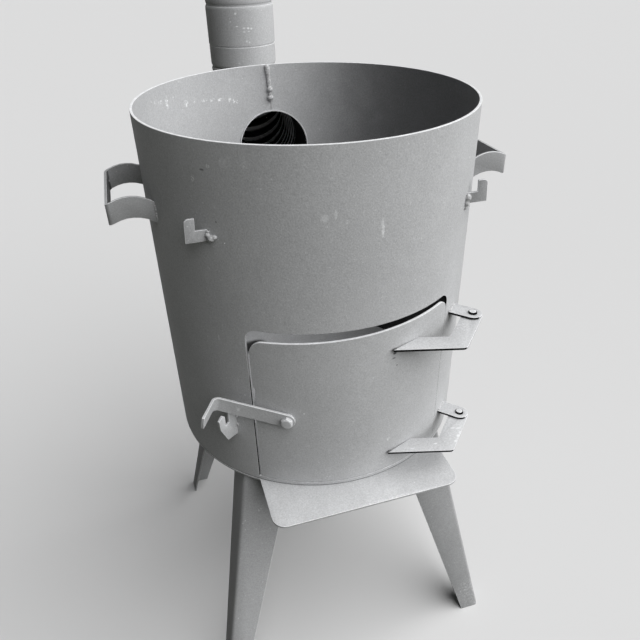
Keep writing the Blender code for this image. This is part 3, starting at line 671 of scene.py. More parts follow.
def close_tree(sheet, skin, material):
    """Realize the instances, set the material and hand the mesh over."""
    skin = sheet.node("GeometryNodeRealizeInstances", {}, {0: skin})
    skin = sheet.node("GeometryNodeSetMaterial", {}, {"Geometry": skin, "Material": material})
    output = sheet.tree.nodes.new("NodeGroupOutput")
    sheet.tree.links.new(skin.socket, output.inputs[0])
    print(sheet.tree.name, "nodes:", len(sheet.tree.nodes))


def even_path(sheet, curve, length):
    """A curve in even steps, and the distance along it."""
    path = sheet.node("GeometryNodeResampleCurve", {"mode": "LENGTH"}, {"Curve": curve, "Length": length})
    return path, sheet.node("GeometryNodeSplineParameter", out="Length")


def swept(sheet, path, radius, sides, caps):
    """A round section swept along a path."""
    section = sheet.node("GeometryNodeCurvePrimitiveCircle", {"mode": "RADIUS"},
                         {"Resolution": sides, "Radius": 1.0})
    return sheet.node("GeometryNodeCurveToMesh", {},
                      {"Curve": path, "Profile Curve": section, "Scale": radius, "Fill Caps": caps})


def apply_tree(obj, tree, values):
    """Run a tree on an object with its inputs set by identifier, and keep the plain mesh."""
    step = modify(obj, "NODES", node_group=tree)
    for item in tree.interface.items_tree:
        if item.in_out == "INPUT" and item.name in values:
            step[item.identifier] = values[item.name]
    return settled(obj)


def path_curve(name, paths, closed=False):
    """Curve object with one poly spline for each path."""
    data = bpy.data.curves.new(name, "CURVE")
    data.dimensions = "3D"
    for points in paths:
        spline = data.splines.new("POLY")
        spline.points.add(len(points) - 1)
        for point, place in zip(spline.points, points):
            point.co = (*place, 1.0)
        spline.use_cyclic_u = closed
    return linked(name, data)


bead_tree, bead, inputs = open_tree("weld_bead", {"Width": "Float", "Ripple": "Float", "Pitch": "Float",
                                                  "Seed": "Float", "Skin": "Material"})
path_in, width_in, ripple_in, pitch_in, seed_in, skin_in = inputs
path, along = even_path(bead, path_in, pitch_in / 5.0)
whole = bead.node("GeometryNodeSplineLength", out="Length")
spot = {"Vector": bead.node("GeometryNodeInputPosition"), "W": seed_in, "Scale": 420.0, "Detail": 2.0}
wobble = bead.node("ShaderNodeTexNoise", {"noise_dimensions": "4D"}, spot, out="Fac")
puddle = bead.sum("ABSOLUTE", bead.sum("SINE", along / pitch_in * math.pi))
ending = bead.sum("MINIMUM", along, whole - along) / width_in
ending = bead.sum("MINIMUM", bead.sum("SQRT", bead.sum("MAXIMUM", ending, 0.0) * 1.6 + 0.12), 1.0)
radius = width_in * 0.5 * ending * (1.0 - ripple_in + ripple_in * puddle + (wobble - 0.5) * 0.5)
skin = swept(bead, path, radius, 10, True)
push = bead.node("ShaderNodeVectorMath", {"operation": "SCALE"},
                 {0: bead.node("GeometryNodeInputNormal"), "Scale": (wobble - 0.5) * width_in * 0.25})
skin = bead.node("GeometryNodeSetPosition", {}, {"Geometry": skin, "Offset": push})
skin = bead.node("GeometryNodeSetShadeSmooth", {}, {0: skin})
close_tree(bead, skin, skin_in)


# %% Weld maker
def welds(name, body, paths, width=0.0032, ripple=0.30, pitch=0.0022, seed=1.0, closed=False, skin=WELD):
    """Beads along paths, one mesh for one body."""
    made = apply_tree(path_curve(name, paths, closed), bead_tree,
                      {"Width": width, "Ripple": ripple, "Pitch": pitch, "Seed": seed, "Skin": skin})
    return hang(made, body)


def line(start, end, steps=6):
    start, end = Vector(start), Vector(end)
    return [start.lerp(end, i / steps) for i in range(steps + 1)]


def along_wall(radius, first, last, height, steps=12):
    return [on_wall(radius, first + (last - first) * i / steps, height) for i in range(steps + 1)]


# %% [markdown]
# ## Lumps of weld
# Where the welder only tacked a piece, the metal stands up in one or two blobs with a run below. Such
# a lump is made of a few overlapping balls, which a voxel remesh melts into one skin.


# %% Lump maker
def lump(name, body, nodes, balls, fineness=0.00045, rough=0.00035):
    """Balls are (centre, radius, stretch) and melt into one closed skin."""
    bm = bmesh.new()
    for centre, radius, stretch in balls:
        place = Matrix.Translation(centre) @ Matrix.Diagonal((*stretch, 1.0))
        bmesh.ops.create_icosphere(bm, subdivisions=3, radius=radius, matrix=place)
    made = from_bmesh(name, bm)
    modify(made, "REMESH", mode="VOXEL", voxel_size=fineness)
    modify(made, "SMOOTH", factor=0.6, iterations=6)
    made = settled(made)
    for vert in made.data.vertices:
        push = noise.noise(vert.co * 520.0) + 0.5 * noise.noise(vert.co * 1300.0)
        vert.co += vert.normal * push * rough
    made.data.materials.clear()
    made.data.materials.append(WELD)
    made.data.shade_smooth()
    return hang(made, body, nodes)


# %% Seam weld inside the back wall
SEAM_BALLS = 40
SEAM_LENGTH = 0.0300
balls = []
for i in range(SEAM_BALLS):
    share = i / (SEAM_BALLS - 1.0)
    across = -0.0026 + 0.0022 * share + 0.0003 * math.sin(5.0 * share)
    size = 0.0037 - 0.0013 * share + 0.00025 * math.sin(11.0 * share)
    place = (across, inner_wall - GAP - 0.0012, RIM - 0.0030 - SEAM_LENGTH * share)
    balls.append((place, size, (1.0, 0.8, 0.9)))
seam_blobs = [
    (-0.0002, 0.0024, 0.0335, 0.0042, (1.0, 0.9, 0.95)),
    (-0.0006, 0.0022, 0.0395, 0.0024, (1.0, 0.9, 1.20)),
    (-0.0004, 0.0024, 0.0450, 0.0041, (1.1, 0.9, 0.85)),
    (0.0000, 0.0020, 0.0485, 0.0022, (0.9, 0.9, 1.00)),
]
balls += [((across, inner_wall - GAP - off, RIM - fall), size, stretch)
          for across, off, fall, size, stretch in seam_blobs]
seam = lump("seam_weld", "stove", ["drum_seam_weld"], balls)
print("seam weld faces:", len(seam.data.polygons))

# %% [markdown]
# ## Floor plate and legs
# The floor is one laser-cut plate. Its round part closes the drum, and its front runs out as a shelf
# for embers. The shelf has been dragged along and wiped, so its paint has soft streaks. The legs are
# tapered sheet, folded along the middle and welded under the plate.

# %% Floor plate and legs
# The two dark marks darken the floor plate at the left end of the slot over the door.
SHELF_PAINT = heat_paint("paint_shelf", level=PAINT * 0.96, streaks=0.45, marks=[
    ((0.030, -0.2405, 0.003), (0.090, 0.0025, 0.004), 0.30),
], dark_marks=[
    ((-0.078, 0.1370, 0.003), (0.040, 0.0235, 0.006), 1.0),
    ((-0.062, 0.1440, 0.003), (0.020, 0.0150, 0.006), 1.0),
])
# The legs take a darker copy of the paint, as painted shade under the shelf.
LEG_PAINT_SHADED = heat_paint("paint_legs_painted_shade", level=PAINT * 0.70, marks=[
    ((-0.20, -0.20, -0.33), (0.05, 0.05, 0.05), 0.25),
    ((0.20, -0.20, -0.33), (0.05, 0.05, 0.05), 0.25),
])
dress_copy("floor_plate", "stove", SHELF_PAINT)
LEG_ANGLES = {"front_left": -45.0, "front_right": 45.0, "back_left": -135.0, "back_right": 135.0}
LEG_FOLD_RADIUS = 0.1975
for leg in LEG_ANGLES:
    dress_copy("leg_" + leg, "stove", LEG_PAINT_SHADED)

leg_paths = []
for angle in LEG_ANGLES.values():
    out, side = outward(angle), sideways(angle)
    fold = out * LEG_FOLD_RADIUS + Vector((0.0, 0.0, -GAP - 0.0006))
    for way in (-1.0, 1.0):
        run = (side * way - out) * math.sqrt(0.5)
        off = (side * -way - out) * math.sqrt(0.5) * (SHEET + 0.0010)
        leg_paths.append(line(fold + run * 0.008 + off, fold + run * 0.058 + off, 10))
welds("leg_welds", "stove", leg_paths, width=0.0040, seed=2.0)

TACKS = 7
tack_paths = [along_wall(inner_wall - 0.0004, 56.0 + 40.0 * i, 64.0 + 40.0 * i, SHEET + 0.0004)
              for i in range(TACKS)]
welds("floor_tacks", "stove", tack_paths, width=0.0042, seed=3.0)
print("leg weld runs:", len(leg_paths), "floor tacks:", len(tack_paths))

# %% [markdown]
# ## Handles and tool hooks
# Each handle is a strip bent to a U and welded on edge to the wall. Below them two small L plates
# stand out, to hang a ladle or a poker on. They were only tacked, so each has a few lobes at its root,
# and the right one has a run below them.

# %% Handles
HANDLE_PAINT = heat_paint("paint_handles", level=PAINT * 0.80)
# A much darker copy of the paint, as painted shade on the handle backs.
HANDLE_SHADE = heat_paint("painted_shade_handle_backs", level=PAINT * 0.34)


def looks_in(face):
    """Faces of a handle that look at the drum, where a darker paint stands in for the shade between handle
    and wall.
    """
    away = Vector((face.center.x, face.center.y, 0.0)).normalized()
    return face.normal.dot(away) < -0.45


HANDLE_LENGTH = 0.1188
SIDES = {"left": -1.0, "right": 1.0}
handle_half = HANDLE_LENGTH / 2 - SHEET / 2
handle_top = RIM - 0.0842
root_paths = []
for side, sign in SIDES.items():
    dress_copy("handle_" + side, "stove", HANDLE_PAINT, black=HANDLE_SHADE, is_black=looks_in)
    for end in (-1.0, 1.0):
        for face in (-1.0, 1.0):
            y = end * handle_half + face * (SHEET / 2 + 0.0006)
            x = sign * (math.sqrt(DRUM_RADIUS ** 2 - y ** 2) + 0.0003)
            root_paths.append(line((x, y, handle_top - 0.0215), (x, y, handle_top - 0.0030), 8))
welds("handle_welds", "stove", root_paths, width=0.0030, seed=4.0)

# %% Hooks and their welds
HOOK_TOP = RIM - 0.0908
hook_lobes = {
    "left": [
        (0.0018, -45.1, 0.0080, 0.0040, (1.0, 1.0, 0.90)),
        (0.0010, -44.2, 0.0068, 0.0028, (1.1, 1.0, 0.90)),
        (0.0016, -46.3, 0.0052, 0.0026, (1.0, 1.0, 1.00)),
        (0.0014, -46.2, 0.0015, 0.0015, (1.3, 1.0, 0.80)),
    ],
    "right": [
        (0.0014, 46.4, 0.0052, 0.0040, (1.0, 1.0, 1.20)),
        (0.0010, 46.0, 0.0112, 0.0032, (1.0, 1.0, 1.20)),
        (0.0004, 45.7, 0.0160, 0.0018, (0.8, 1.0, 1.60)),
    ],
}
for side in SIDES:
    dress_copy("tool_hook_" + side, "stove", HANDLE_PAINT, width=0.00035)
for side, lobes in hook_lobes.items():
    balls = [(on_wall(DRUM_RADIUS + GAP + off, angle, HOOK_TOP - fall), size, stretch)
             for off, angle, fall, size, stretch in lobes]
    lump("tool_hook_weld_%s_piece" % side, "stove", ["tool_hook_weld_" + side], balls)
print("hooks at, mm:", round(1000 * HOOK_TOP, 1))

# %% [markdown]
# ## The door
# The door is the piece that was cut out of the wall, hung back a little proud of it. Its latch side
# has a rough bite where the cutter stuttered. The wide gap over its top lets air in. Two cranked arms
# are tacked to its face, and the door, the arms and the tip welds are darker round the arm tips.

# %% Door panel
DOOR_RADIUS = DRUM_RADIUS + 0.0010
LATCH_GAP = 0.0036
HINGE_GAP = 0.0026
DOOR_BOTTOM = OPENING_BOTTOM + 0.0020
DOOR_TOP = OPENING_TOP - 0.0125
DOOR_SLOPE = (-0.0035, 0.0055)      # the top's ends from the middle: low at the latch
DOOR_CORNER = 0.017
ARM_TOPS = {"upper": 0.2010, "lower": 0.0420}
LATCH_HEIGHT = 0.1163
LATCH_ANGLE = -25.0
BOLT_RADIUS = 0.004
BITE_HEIGHT, BITE_DEPTH, BITE_FALL = 0.024, 0.0022, 0.066
door_left = -OPENING_WIDTH / 2 + LATCH_GAP
door_right = OPENING_WIDTH / 2 - HINGE_GAP

# Dark marks on the door round the arm tips.
tip_dark_marks = [
    (on_wall(DOOR_RADIUS, 11.74, 0.1926), (0.0034, 0.0060, 0.0026), 0.85),
    (on_wall(DOOR_RADIUS, 11.45, 0.1858), (0.0032, 0.0060, 0.0020), 0.55),
    (on_wall(DOOR_RADIUS, 12.85, 0.1741), (0.0014, 0.0060, 0.0014), 0.70),
    (on_wall(DOOR_RADIUS, 11.80, 0.0348), (0.0034, 0.0060, 0.0024), 0.80),
]
door_marks = [
    (on_wall(DOOR_RADIUS, -19.5, 0.1250), (0.0012, 0.010, 0.0012), 2.00),
    (on_wall(DOOR_RADIUS, 10.81, 0.0609), (0.0050, 0.0060, 0.0032), 0.50),
]
DOOR_PAINT = heat_paint("paint_door", level=PAINT * 0.99, marks=door_marks, dark_marks=tip_dark_marks)
door = rolled("door", door_left, door_right, DOOR_BOTTOM, DOOR_TOP + DOOR_SLOPE[0], DOOR_TOP + DOOR_SLOPE[1],
              DOOR_CORNER, DOOR_RADIUS, SHEET, -1.0)


def latch_place(distance):
    """Matrix on the bolt's axis: X along the wall, Y up, Z out."""
    away, up = outward(LATCH_ANGLE), Vector((0.0, 0.0, 1.0))
    spin = Matrix((sideways(LATCH_ANGLE), up, away)).transposed().to_4x4()
    return Matrix.Translation(away * (DOOR_RADIUS + distance) + up * LATCH_HEIGHT) @ spin


def bite_tool(name, middle, height, depth):
    """Jagged block that eats into the door's latch side."""
    random.seed(5)
    rows = 14
    profile = []
    for i in range(rows + 1):
        share = i / rows
        reach = depth * (0.80 + 0.35 * random.random()) * min(1.0, 6.0 * share, 6.0 * (1.0 - share))
        profile.append((max(reach, 0.0) + 0.0002, middle + height * (share - 0.5)))
    profile += [(-0.010, middle + height / 2), (-0.010, middle - height / 2)]
    angle = math.degrees(door_left / DRUM_RADIUS)
    bm = bmesh.new()
    rings = [[bm.verts.new(on_wall(DRUM_RADIUS + distance, angle, z) + sideways(angle) * reach)
              for reach, z in profile] for distance in (-4 * SHEET, 4 * SHEET)]
    skirt(bm, rings[0], rings[1])
    bm.faces.new(rings[0])
    bm.faces.new(list(reversed(rings[1])))
    bmesh.ops.recalc_face_normals(bm, faces=bm.faces)
    return from_bmesh(name, bm)


bite = bite_tool("door_bite_tool", DOOR_TOP - BITE_FALL - BITE_HEIGHT / 2, BITE_HEIGHT, BITE_DEPTH)
bolt_hole = round_tool("bolt_hole_tool", BOLT_RADIUS + GAP, 10 * SHEET, 32, latch_place(0.0))
# The door's up-facing cut faces get a painted highlight; its other cut faces are black as painted shade.
door = dress(carved(door, bite, bolt_hole), "door", ["door_panel"], DOOR_PAINT, highlight_tops=True,
             is_black=cut_side)
print("door faces:", len(door.data.polygons))

# %% Hinges
lower_scratches = [
    (0.1313, -0.1860, 0.1380, -0.1882, 0.0008, 1.30),
    (0.1380, -0.1882, 0.1450, -0.1905, 0.0008, 1.30),
    (0.1411, -0.1952, 0.1380, -0.1990, 0.0012, 0.70),
    (0.1370, -0.2000, 0.1333, -0.2044, 0.0008, 1.40),
    (0.1333, -0.2044, 0.1300, -0.2075, 0.0012, 0.70),
    (0.1290, -0.2085, 0.1254, -0.2114, 0.0008, 1.40),
    (0.0983, -0.2063, 0.1027, -0.2059, 0.0009, 1.55),
    (0.0667, -0.2053, 0.0710, -0.2049, 0.0009, 0.60),
]
upper_scratches = [(0.1409, -0.1760, 0.1240, -0.1929, 0.0020, 0.20)]
arm_scratches = [stroke((x, y, ARM_TOPS[level]), (to_x, to_y, ARM_TOPS[level]), width, strength)
                 for level, rows in (("lower", lower_scratches), ("upper", upper_scratches))
                 for x, y, to_x, to_y, width, strength in rows]
arm_tip_dark_marks = [(on_wall(DOOR_RADIUS + 0.003, 11.0, top - 0.001), (0.0030, 0.0026, 0.0040), 0.75)
             for top in ARM_TOPS.values()]
ARM_PAINT = heat_paint("paint_arms", level=PAINT, marks=arm_scratches, dark_marks=arm_tip_dark_marks)
PIN_PAINT = worn_edge("paint_pins", 0.66)
# The lugs' and arms' sides turned from the light, and the pins' sides, are black as painted shade.
for level in ARM_TOPS:
    dress_copy("hinge_lug_" + level, "stove", ARM_PAINT, width=0.0004, is_black=shaded_side)
    dress_copy("hinge_pin_" + level, "stove", PIN_PAINT, width=0.0010, segments=3,
               is_black=lambda face: face.normal.z < 0.88)
    dress_copy("hinge_arm_" + level, "door", ARM_PAINT, width=0.0004, is_black=shaded_side)

lug_paths, arm_paths, tip_paths = [], [], []
for arm_top in ARM_TOPS.values():
    lug_paths.append(along_wall(DRUM_RADIUS + 0.0005, 40.6, 46.2, arm_top + GAP + SHEET + 0.0005))
    lug_paths.append(along_wall(DRUM_RADIUS + 0.0005, 41.4, 45.4, arm_top + GAP - 0.0005))
    tip_paths.append(along_wall(DOOR_RADIUS + 0.0018, 10.4, 12.4, arm_top - 0.0019, 6))
    arm_paths.append(along_wall(DOOR_RADIUS + 0.0004, 17.0, 21.0, arm_top - SHEET - 0.0005))
welds("lug_welds", "stove", lug_paths, width=0.0022, seed=6.0)
welds("arm_welds", "door", arm_paths, width=0.0026, seed=7.0)
welds("arm_tip_welds", "door", tip_paths, width=0.0032, seed=10.0, skin=DARK_TIP_WELD)
print("hinge arm tops, mm:", [round(1000 * v, 1) for v in ARM_TOPS.values()])

# %% [markdown]
# ## The latch
# A flat bar swings on a hex bolt and drops into a hooked catch. The photograph shows it dropped. The
# part rests with it just lifted clear, so that the door may be swung on its own. The bar was bent by
# hand: it has a faint kink before the tight bend of its grip.


# %% Latch bar
def bent_strip(name, path, tops, bottoms, thickness):
    """Strip on edge along a plan path, with a top and a bottom height at each point."""
    bm = bmesh.new()
    upper = [bm.verts.new((x, y, z)) for (x, y), z in zip(path, tops)]
    lower = [bm.verts.new((x, y, z)) for (x, y), z in zip(path, bottoms)]
    for i in range(len(path) - 1):
        bm.faces.new((upper[i], lower[i], lower[i + 1], upper[i + 1]))
    made = from_bmesh(name, bm)
    modify(made, "SOLIDIFY", thickness=thickness, offset=0.0, use_even_offset=True)
    return made


BAR_HALF = 0.019 / 2
BAR_LENGTH = 0.0895
BAR_BEND = 0.0075
BAR_GRIP = 0.0385
BAR_SLANT = 0.0029
BAR_RAISED = 12.5
WASHER = 0.0016
bar_middle = GAP + WASHER + GAP + SHEET / 2
round_end = [math.radians(a) for a in (6, 14, 24, 34, 45, 56, 67, 78, 90)]
bar_path = [(-BAR_HALF * math.cos(a), bar_middle) for a in round_end]
bar_halves = [BAR_HALF * math.sin(a) for a in round_end]
for x, kink in ((0.050, 0.0), (0.058, 0.0001), (0.060, 0.0003), (0.062, 0.0001), (0.070, 0.0)):
    bar_path.append((x, bar_middle + kink))
bar_path += arc((BAR_LENGTH - BAR_BEND, bar_middle + BAR_BEND), (BAR_BEND, BAR_BEND), -90.0, 7.5, 13)
bar_path[-1] = (BAR_LENGTH, bar_middle + BAR_BEND)
tip = BAR_GRIP - BAR_SLANT
bar_path += [(BAR_LENGTH + 0.0006, bar_middle + 0.6 * tip), (BAR_LENGTH + SHEET / 2, bar_middle + tip),
             (BAR_LENGTH + SHEET / 2, bar_middle + BAR_GRIP)]
bar_halves += [BAR_HALF] * (len(bar_path) - len(bar_halves))
bar_lows = [-h for h in bar_halves]
bar_lows[-1] = 0.1 * BAR_HALF
bar = bent_strip("latch_bar_piece", bar_path, bar_halves, bar_lows, SHEET)
away, aside, up = outward(LATCH_ANGLE), sideways(LATCH_ANGLE), Vector((0.0, 0.0, 1.0))
level = Matrix((-aside, away, up)).transposed().to_4x4()
level = Matrix.Translation(away * DOOR_RADIUS + up * LATCH_HEIGHT) @ level
bar.matrix_world = level @ rotation(-BAR_RAISED, "Y")
bar_hole = round_tool("bar_hole_tool", BOLT_RADIUS + 0.0004, 10 * SHEET, 32, latch_place(0.0))
LATCH_PAINT = heat_paint("paint_latch", level=PAINT * 0.96, grain=1.3, marks=[
    (latch_place(0.004) @ Vector((-0.058, 0.013, 0.0)), (0.004, 0.004, 0.010), 0.5),
])
dress(carved(bar, bar_hole), "latch", ["latch_bar"], LATCH_PAINT, width=0.0005)
print("latch bar, mm:", round(1000 * (BAR_LENGTH + BAR_HALF), 1))

# %% Bolt, washer, nut and catch
BOLT_HEAD = 0.0053
head_top = bar_middle + SHEET / 2 + GAP + BOLT_HEAD
bolt = copy_of("latch_bolt", "latch_bolt_piece")
cone = [(0.0, head_top), (0.0056, head_top), (0.0080, head_top - 0.0015), (0.0080, -0.030), (0.0, -0.030)]
bm = bmesh.new()
profile = [bm.verts.new((r, 0.0, z)) for r, z in cone]
edges = [bm.edges.new((profile[i], profile[i + 1])) for i in range(len(profile) - 1)]
bmesh.ops.spin(bm, geom=profile + edges, angle=2.0 * math.pi, steps=48, axis=(0, 0, 1), cent=(0, 0, 0))
bmesh.ops.remove_doubles(bm, verts=bm.verts, dist=1e-6)
bmesh.ops.recalc_face_normals(bm, faces=bm.faces)
chamfer = from_bmesh("chamfer_tool", bm)
chamfer.matrix_world = latch_place(0.0)
BOLT_PAINT = heat_paint("paint_bolt", level=PAINT * 1.12, grain=0.6)
dress(carved(bolt, chamfer, operation="INTERSECT"), "door", ["latch_bolt"], BOLT_PAINT, width=0.00025)
dress_copy("latch_washer", "door", BOLT_PAINT, width=0.00025)
dress_copy("latch_nut", "door", BOLT_PAINT, width=0.00030)

CATCH_ANGLE = -45.0
CATCH_PAINT = heat_paint("paint_catch", grain=1.2, marks=[
    (on_wall(DRUM_RADIUS + 0.020, CATCH_ANGLE, 0.104), (0.006, 0.006, 0.004), 0.8),
])
dress_copy("latch_catch", "stove", CATCH_PAINT, width=0.0004)
catch_low, catch_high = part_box("latch_catch")
catch_paths = []
for way in (-1.0, 1.0):
    base = outward(CATCH_ANGLE) * (DRUM_RADIUS + GAP) + sideways(CATCH_ANGLE) * way * (SHEET / 2 + 0.0005)
    catch_paths.append(line(base + up * (catch_high.z - 0.0300), base + up * (catch_high.z - 0.0100), 8))
    catch_paths.append(line(base + up * (catch_low.z + 0.0110), base + up * (catch_low.z + 0.0170), 6))
welds("catch_welds", "stove", catch_paths, width=0.0036, seed=8.0)
print("catch from", round(1000 * catch_low.z, 1), "to", round(1000 * catch_high.z, 1), "mm")

# %% [markdown]
# ## The flue
# Smoke leaves through a crimped elbow in the back wall. The crimps are pressed into the bend so that
# thin pipe can turn without splitting, and they show through the flue hole as a fan of ridges. One
# tree sweeps a round section along the bend and lets its radius rise and fall. It runs twice, for
# the outside and for the bore, and their ends are bridged. The bore is sooty black, and its ridge
# crests carry a pale painted highlight, so the tree hands the shader how far each place is up a ridge.

# %% Crimped elbow
SETBACK = 0.3925
BEND = 0.074
CRIMPS = 13
CRIMP_HEIGHT = 0.0022
CRIMPS_FROM = 0.2560
NECK = 0.038
FLUE_WALL = 0.0012
bend_start = SETBACK - BEND
bend_end = FLUE_HEIGHT + BEND

crimp_tree, tube, inputs = open_tree("crimped_tube", {"Radius": "Float", "Height": "Float", "Count": "Float",
                                                      "From": "Float", "To": "Float", "Sides": "Int",
                                                      "Skin": "Material"})
path_in, radius_in, height_in, count_in, from_in, to_in, sides_in, skin_in = inputs
path, along = even_path(tube, path_in, 0.0011)
share = (along - from_in) / (to_in - from_in)
inside = tube.sum("GREATER_THAN", share, 0.0) * tube.sum("LESS_THAN", share, 1.0)
wave = tube.sum("SINE", share * count_in * math.pi)
crest = inside * (1.0 - wave * wave)
swell = inside * height_in * (wave * wave - 0.36)
path = tube.node("GeometryNodeStoreNamedAttribute", {"data_type": "FLOAT", "domain": "POINT"},
                 {"Geometry": path, "Name": "crest", "Value": crest})
close_tree(tube, swept(tube, path, radius_in + swell, sides_in, False), skin_in)


def bend_path(start, top):
    """Centre line: out of the back wall, round the bend, and up."""
    bend = arc((bend_start, bend_end), (BEND, BEND), -90.0, 1.5, 61)
    return [Vector((0.0, y, z)) for y, z in [(start, FLUE_HEIGHT), *bend, (SETBACK, top)]]


FLUE_PAINT = heat_paint("paint_flue", level=PAINT * 0.98)
# Sooty black bore with a pale painted highlight on each ridge crest.
soot_highlight_sheet = Sheet("flue_soot_and_painted_highlight")
crest_at = soot_highlight_sheet.node("ShaderNodeAttribute", {"attribute_name": "crest"}, out="Fac")
ridge = soot_highlight_sheet.step(crest_at + (soot_highlight_sheet.noise(0.010, 2.0) - 0.5) * 0.20, 0.52, 0.94)
FLUE_SOOT_AND_HIGHLIGHT = soot_highlight_sheet.coat(soot_highlight_sheet.mix(ridge, grey(0.008), grey(0.90)), 0.6, 0.10)
neck_top = bend_end + NECK
crimped = bend_start - CRIMPS_FROM + BEND * math.pi / 2.0


def crimped_tube(name, start, top, radius):
    """One skin of the elbow, with its crimps at the same places along the bend."""
    values = {"Radius": radius, "Height": CRIMP_HEIGHT, "Count": float(CRIMPS), "From": CRIMPS_FROM - start,
              "To": CRIMPS_FROM - start + crimped, "Sides": 72, "Skin": FLUE_PAINT}
    return apply_tree(path_curve(name, [bend_path(start, top)]), crimp_tree, values)


outside = crimped_tube("elbow", 0.170, neck_top, ELBOW_RADIUS)
bore = crimped_tube("elbow_bore_tool", 0.160, neck_top + 0.010, ELBOW_RADIUS - FLUE_WALL)
bm = bmesh.new()
for shell in (outside, bore):
    first = len(bm.faces)
    bm.from_mesh(shell.data)
    bm.faces.ensure_lookup_table()
    if shell is bore:
        bmesh.ops.reverse_faces(bm, faces=bm.faces[first:])
for vert in bm.verts:
    wall_y = math.sqrt(max(inner_wall ** 2 - vert.co.x ** 2, 0.0)) - 0.0014
    vert.co.y = max(vert.co.y, wall_y)
bmesh.ops.remove_doubles(bm, verts=bm.verts, dist=2e-6)
for at_wall in (True, False):
    rim_edges = [e for e in bm.edges if e.is_boundary and (e.verts[0].co.z < FLUE_HEIGHT + 0.06) == at_wall]
    bmesh.ops.bridge_loops(bm, edges=rim_edges)
drop(outside, bore)
elbow = from_bmesh("elbow", bm)
pivot = Vector((0.0, bend_start, FLUE_HEIGHT + BEND))


def to_axis(spot):
    """Vector from a place to the elbow's centre line."""
    flat = Vector((0.0, spot.y, spot.z))
    if spot.y < bend_start:
        return Vector((0.0, spot.y, FLUE_HEIGHT)) - spot
    if spot.z > bend_end:
        return Vector((0.0, SETBACK, spot.z)) - spot
    return pivot + (flat - pivot).normalized() * BEND - spot


elbow = dress(elbow, "stove", ["flue_elbow"], FLUE_PAINT, width=0.0, black=FLUE_SOOT_AND_HIGHLIGHT,
              is_black=lambda face: face.normal.dot(to_axis(face.center).normalized()) > 0.4)
for face in elbow.data.polygons:
    if face.center.y < DRUM_RADIUS - 0.001 and face.material_index == 0:
        face.material_index = 1
elbow.data.set_sharp_from_angle(angle=math.radians(50.0))
print("elbow attributes:", [a.name for a in elbow.data.attributes if not a.name.startswith(".")])
print("elbow faces:", len(elbow.data.polygons))

# %% Ring, collar and pipe
PIPE_RADIUS = 0.0530
COLLAR_WALL = 0.0016
COLLAR_LENGTH = 0.090
COLLAR_FOOT, COLLAR_STEP = 0.013, 0.0320
RING_HEIGHT, RING_LENGTH = 0.0024, 0.008
ring_low = bend_end + 0.003
ring_foot = ELBOW_RADIUS - 0.0004
ring_arc = arc((ELBOW_RADIUS - 0.0002, ring_low + RING_LENGTH / 2), (RING_HEIGHT, RING_LENGTH / 2),
               -90.0, 15.0, 13)
ring_profile = [(ring_foot, ring_low), *ring_arc, (ring_foot, ring_low + RING_LENGTH)]
dress(turned("elbow_ring", ring_profile, 96, (0.0, SETBACK)), "stove", [], FLUE_PAINT, width=0.0)

collar_low = bend_end + COLLAR_FOOT
collar_step = collar_low + COLLAR_STEP
collar_top = collar_low + COLLAR_LENGTH
bore_high = PIPE_RADIUS + 0.0004
collar_out = bore_high + COLLAR_WALL
collar_profile = [
    (bore_high, collar_top),
    *arc((collar_out - 0.0012, collar_top - 0.0060), (0.0012, 0.0060), 90.0, -15.0, 7),
    (collar_out, collar_step + 0.0012), (collar_out - 0.0012, collar_step),
    (collar_out - 0.0004, collar_step - 0.0012),
    *arc((collar_out - 0.0017, collar_low + 0.0045), (0.0013, 0.0045), 0.0, -15.0, 7),
    (ELBOW_RADIUS + GAP, collar_low), (ELBOW_RADIUS + GAP, neck_top), (bore_high, neck_top),
]
collar = turned("collar", collar_profile, 128, (0.0, SETBACK))
white_specks = [
    (-19.1, 0.4900, -15.8, 0.4925, 0.0008, 1.90),
    (-27.4, 0.4795, -26.8, 0.4800, 0.0010, 1.80),
    (-18.5, 0.4731, -14.7, 0.4727, 0.0009, 1.90),
    (-7.3, 0.4706, -3.1, 0.4700, 0.0009, 1.80),
    (0.5, 0.4706, 3.1, 0.4690, 0.0009, 1.90),
    (5.7, 0.4700, 8.4, 0.4680, 0.0009, 1.70),
    (-7.1, 0.4652, -3.7, 0.4644, 0.0008, 1.60),
    (1.0, 0.4652, 4.2, 0.4650, 0.0008, 1.60),
    (-2.7, 0.4520, -1.5, 0.4495, 0.0009, 1.60),
    (1.6, 0.4500, 3.1, 0.4485, 0.0010, 1.50),
]
COLLAR_PAINT = heat_paint("paint_collar", level=PAINT * 1.02,
                          marks=wall_strokes(collar_out, white_specks, SETBACK))
dress(collar, "stove", ["flue_collar"], COLLAR_PAINT, width=0.0003)

PIPE_LENGTH = 0.500
PIPE_BEAD, PIPE_BEAD_HALF = 0.0012, 0.006
pipe_low = neck_top + GAP
pipe_top = pipe_low + PIPE_LENGTH
bead_low = collar_top + GAP + 0.002
pipe_profile = [
    (PIPE_RADIUS, pipe_top), (PIPE_RADIUS, bead_low + 0.014),
    *arc((PIPE_RADIUS, bead_low + PIPE_BEAD_HALF), (PIPE_BEAD, PIPE_BEAD_HALF), 90.0, -22.5, 9),
    (PIPE_RADIUS, bead_low - 0.001), (PIPE_RADIUS, pipe_low),
    (PIPE_RADIUS - FLUE_WALL, pipe_low), (PIPE_RADIUS - FLUE_WALL, pipe_top),
]
pipe = turned("pipe", pipe_profile, 128, (0.0, SETBACK))


def pipe_seam(sheet):
    """Folded seam up the back of the pipe."""
    x, y, _ = sheet.axes()
    return sheet.step(sheet.sum("ABSOLUTE", x), 0.0012, 0.0005) * sheet.step(y, SETBACK, SETBACK + 0.02)


PIPE_PAINT = heat_paint("paint_pipe", lines=[pipe_seam])
dress(pipe, "pipe", ["flue_pipe"], PIPE_PAINT, width=0.0003)

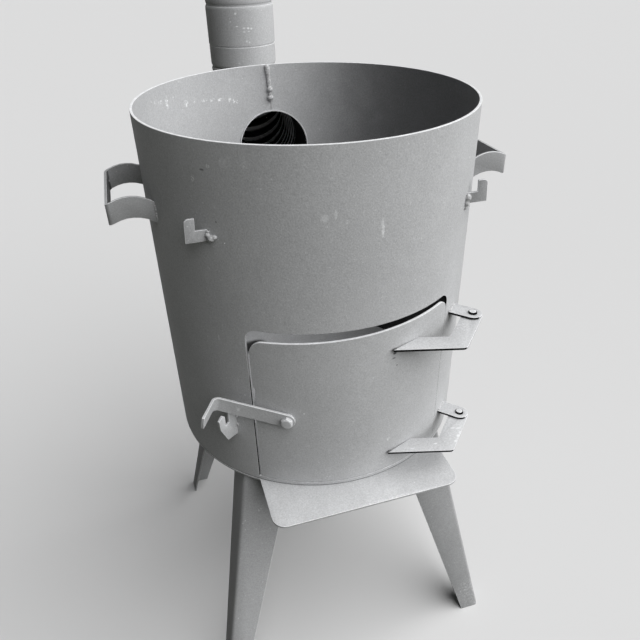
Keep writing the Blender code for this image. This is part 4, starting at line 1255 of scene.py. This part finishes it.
stub = ELBOW_RADIUS + 0.0004
stub_path = [Vector((x, math.sqrt(DRUM_RADIUS ** 2 - x ** 2) + 0.0004, FLUE_HEIGHT + z))
             for x, z in arc((0.0, 0.0), (stub, stub), 0.0, 5.0, 72)]
welds("flue_weld", "stove", [stub_path], width=0.0036, seed=9.0, closed=True)
print("pipe from", round(1000 * pipe_low, 1), "to", round(1000 * pipe_top, 1), "mm")

# %% [markdown]
# ## Spatter
# Tiny beads of weld metal stick to the wall round every tack and are painted over. The tree puts a
# small ball on each point, in random sizes from a fixed seed.

# %% Spatter tree
spatter_tree, dots, inputs = open_tree("spatter", {"Smallest": "Float", "Largest": "Float", "Seed": "Int",
                                                   "Skin": "Material"})
points_in, small_in, large_in, seed_in, skin_in = inputs
ball = dots.node("GeometryNodeMeshIcoSphere", {}, {"Radius": 1.0, "Subdivisions": 2})
range_in = {2: small_in, 3: large_in, "Seed": seed_in}
size = dots.node("FunctionNodeRandomValue", {"data_type": "FLOAT"}, range_in, out=1)
placed = dots.node("GeometryNodeInstanceOnPoints", {}, {"Points": points_in, "Instance": ball, "Scale": size})
placed = dots.node("GeometryNodeSetShadeSmooth", {}, {0: placed})
close_tree(dots, placed, skin_in)


def spatter(name, body, spots, radius, count, seed):
    """Points scattered on the wall round each (angle, height)."""
    random.seed(seed)
    points = []
    for angle, height in spots:
        for _ in range(count):
            reach = 0.004 + 0.014 * random.random() ** 1.5
            turn = random.uniform(0.0, 2.0 * math.pi)
            points.append(on_wall(radius, angle + math.degrees(reach * math.cos(turn) / radius),
                                  height + reach * math.sin(turn)))
    data = bpy.data.meshes.new(name)
    data.from_pydata(points, [], [])
    made = apply_tree(linked(name, data), spatter_tree,
                      {"Smallest": 0.00020, "Largest": 0.00055, "Seed": seed, "Skin": WELD})
    return hang(made, body)


wall_spots = [(-46.0, HOOK_TOP - 0.008), (46.5, HOOK_TOP - 0.008), (-45.0, 0.120), (-45.0, 0.090),
              (43.4, 0.206), (43.4, 0.047), (180.0, RIM - 0.060)]
spatter("wall_spatter", "stove", wall_spots, DRUM_RADIUS, 9, 11)
spatter("door_spatter", "door", [(8.0, 0.199), (8.0, 0.040), (20.0, 0.199)], DOOR_RADIUS, 7, 12)

# %% [markdown]
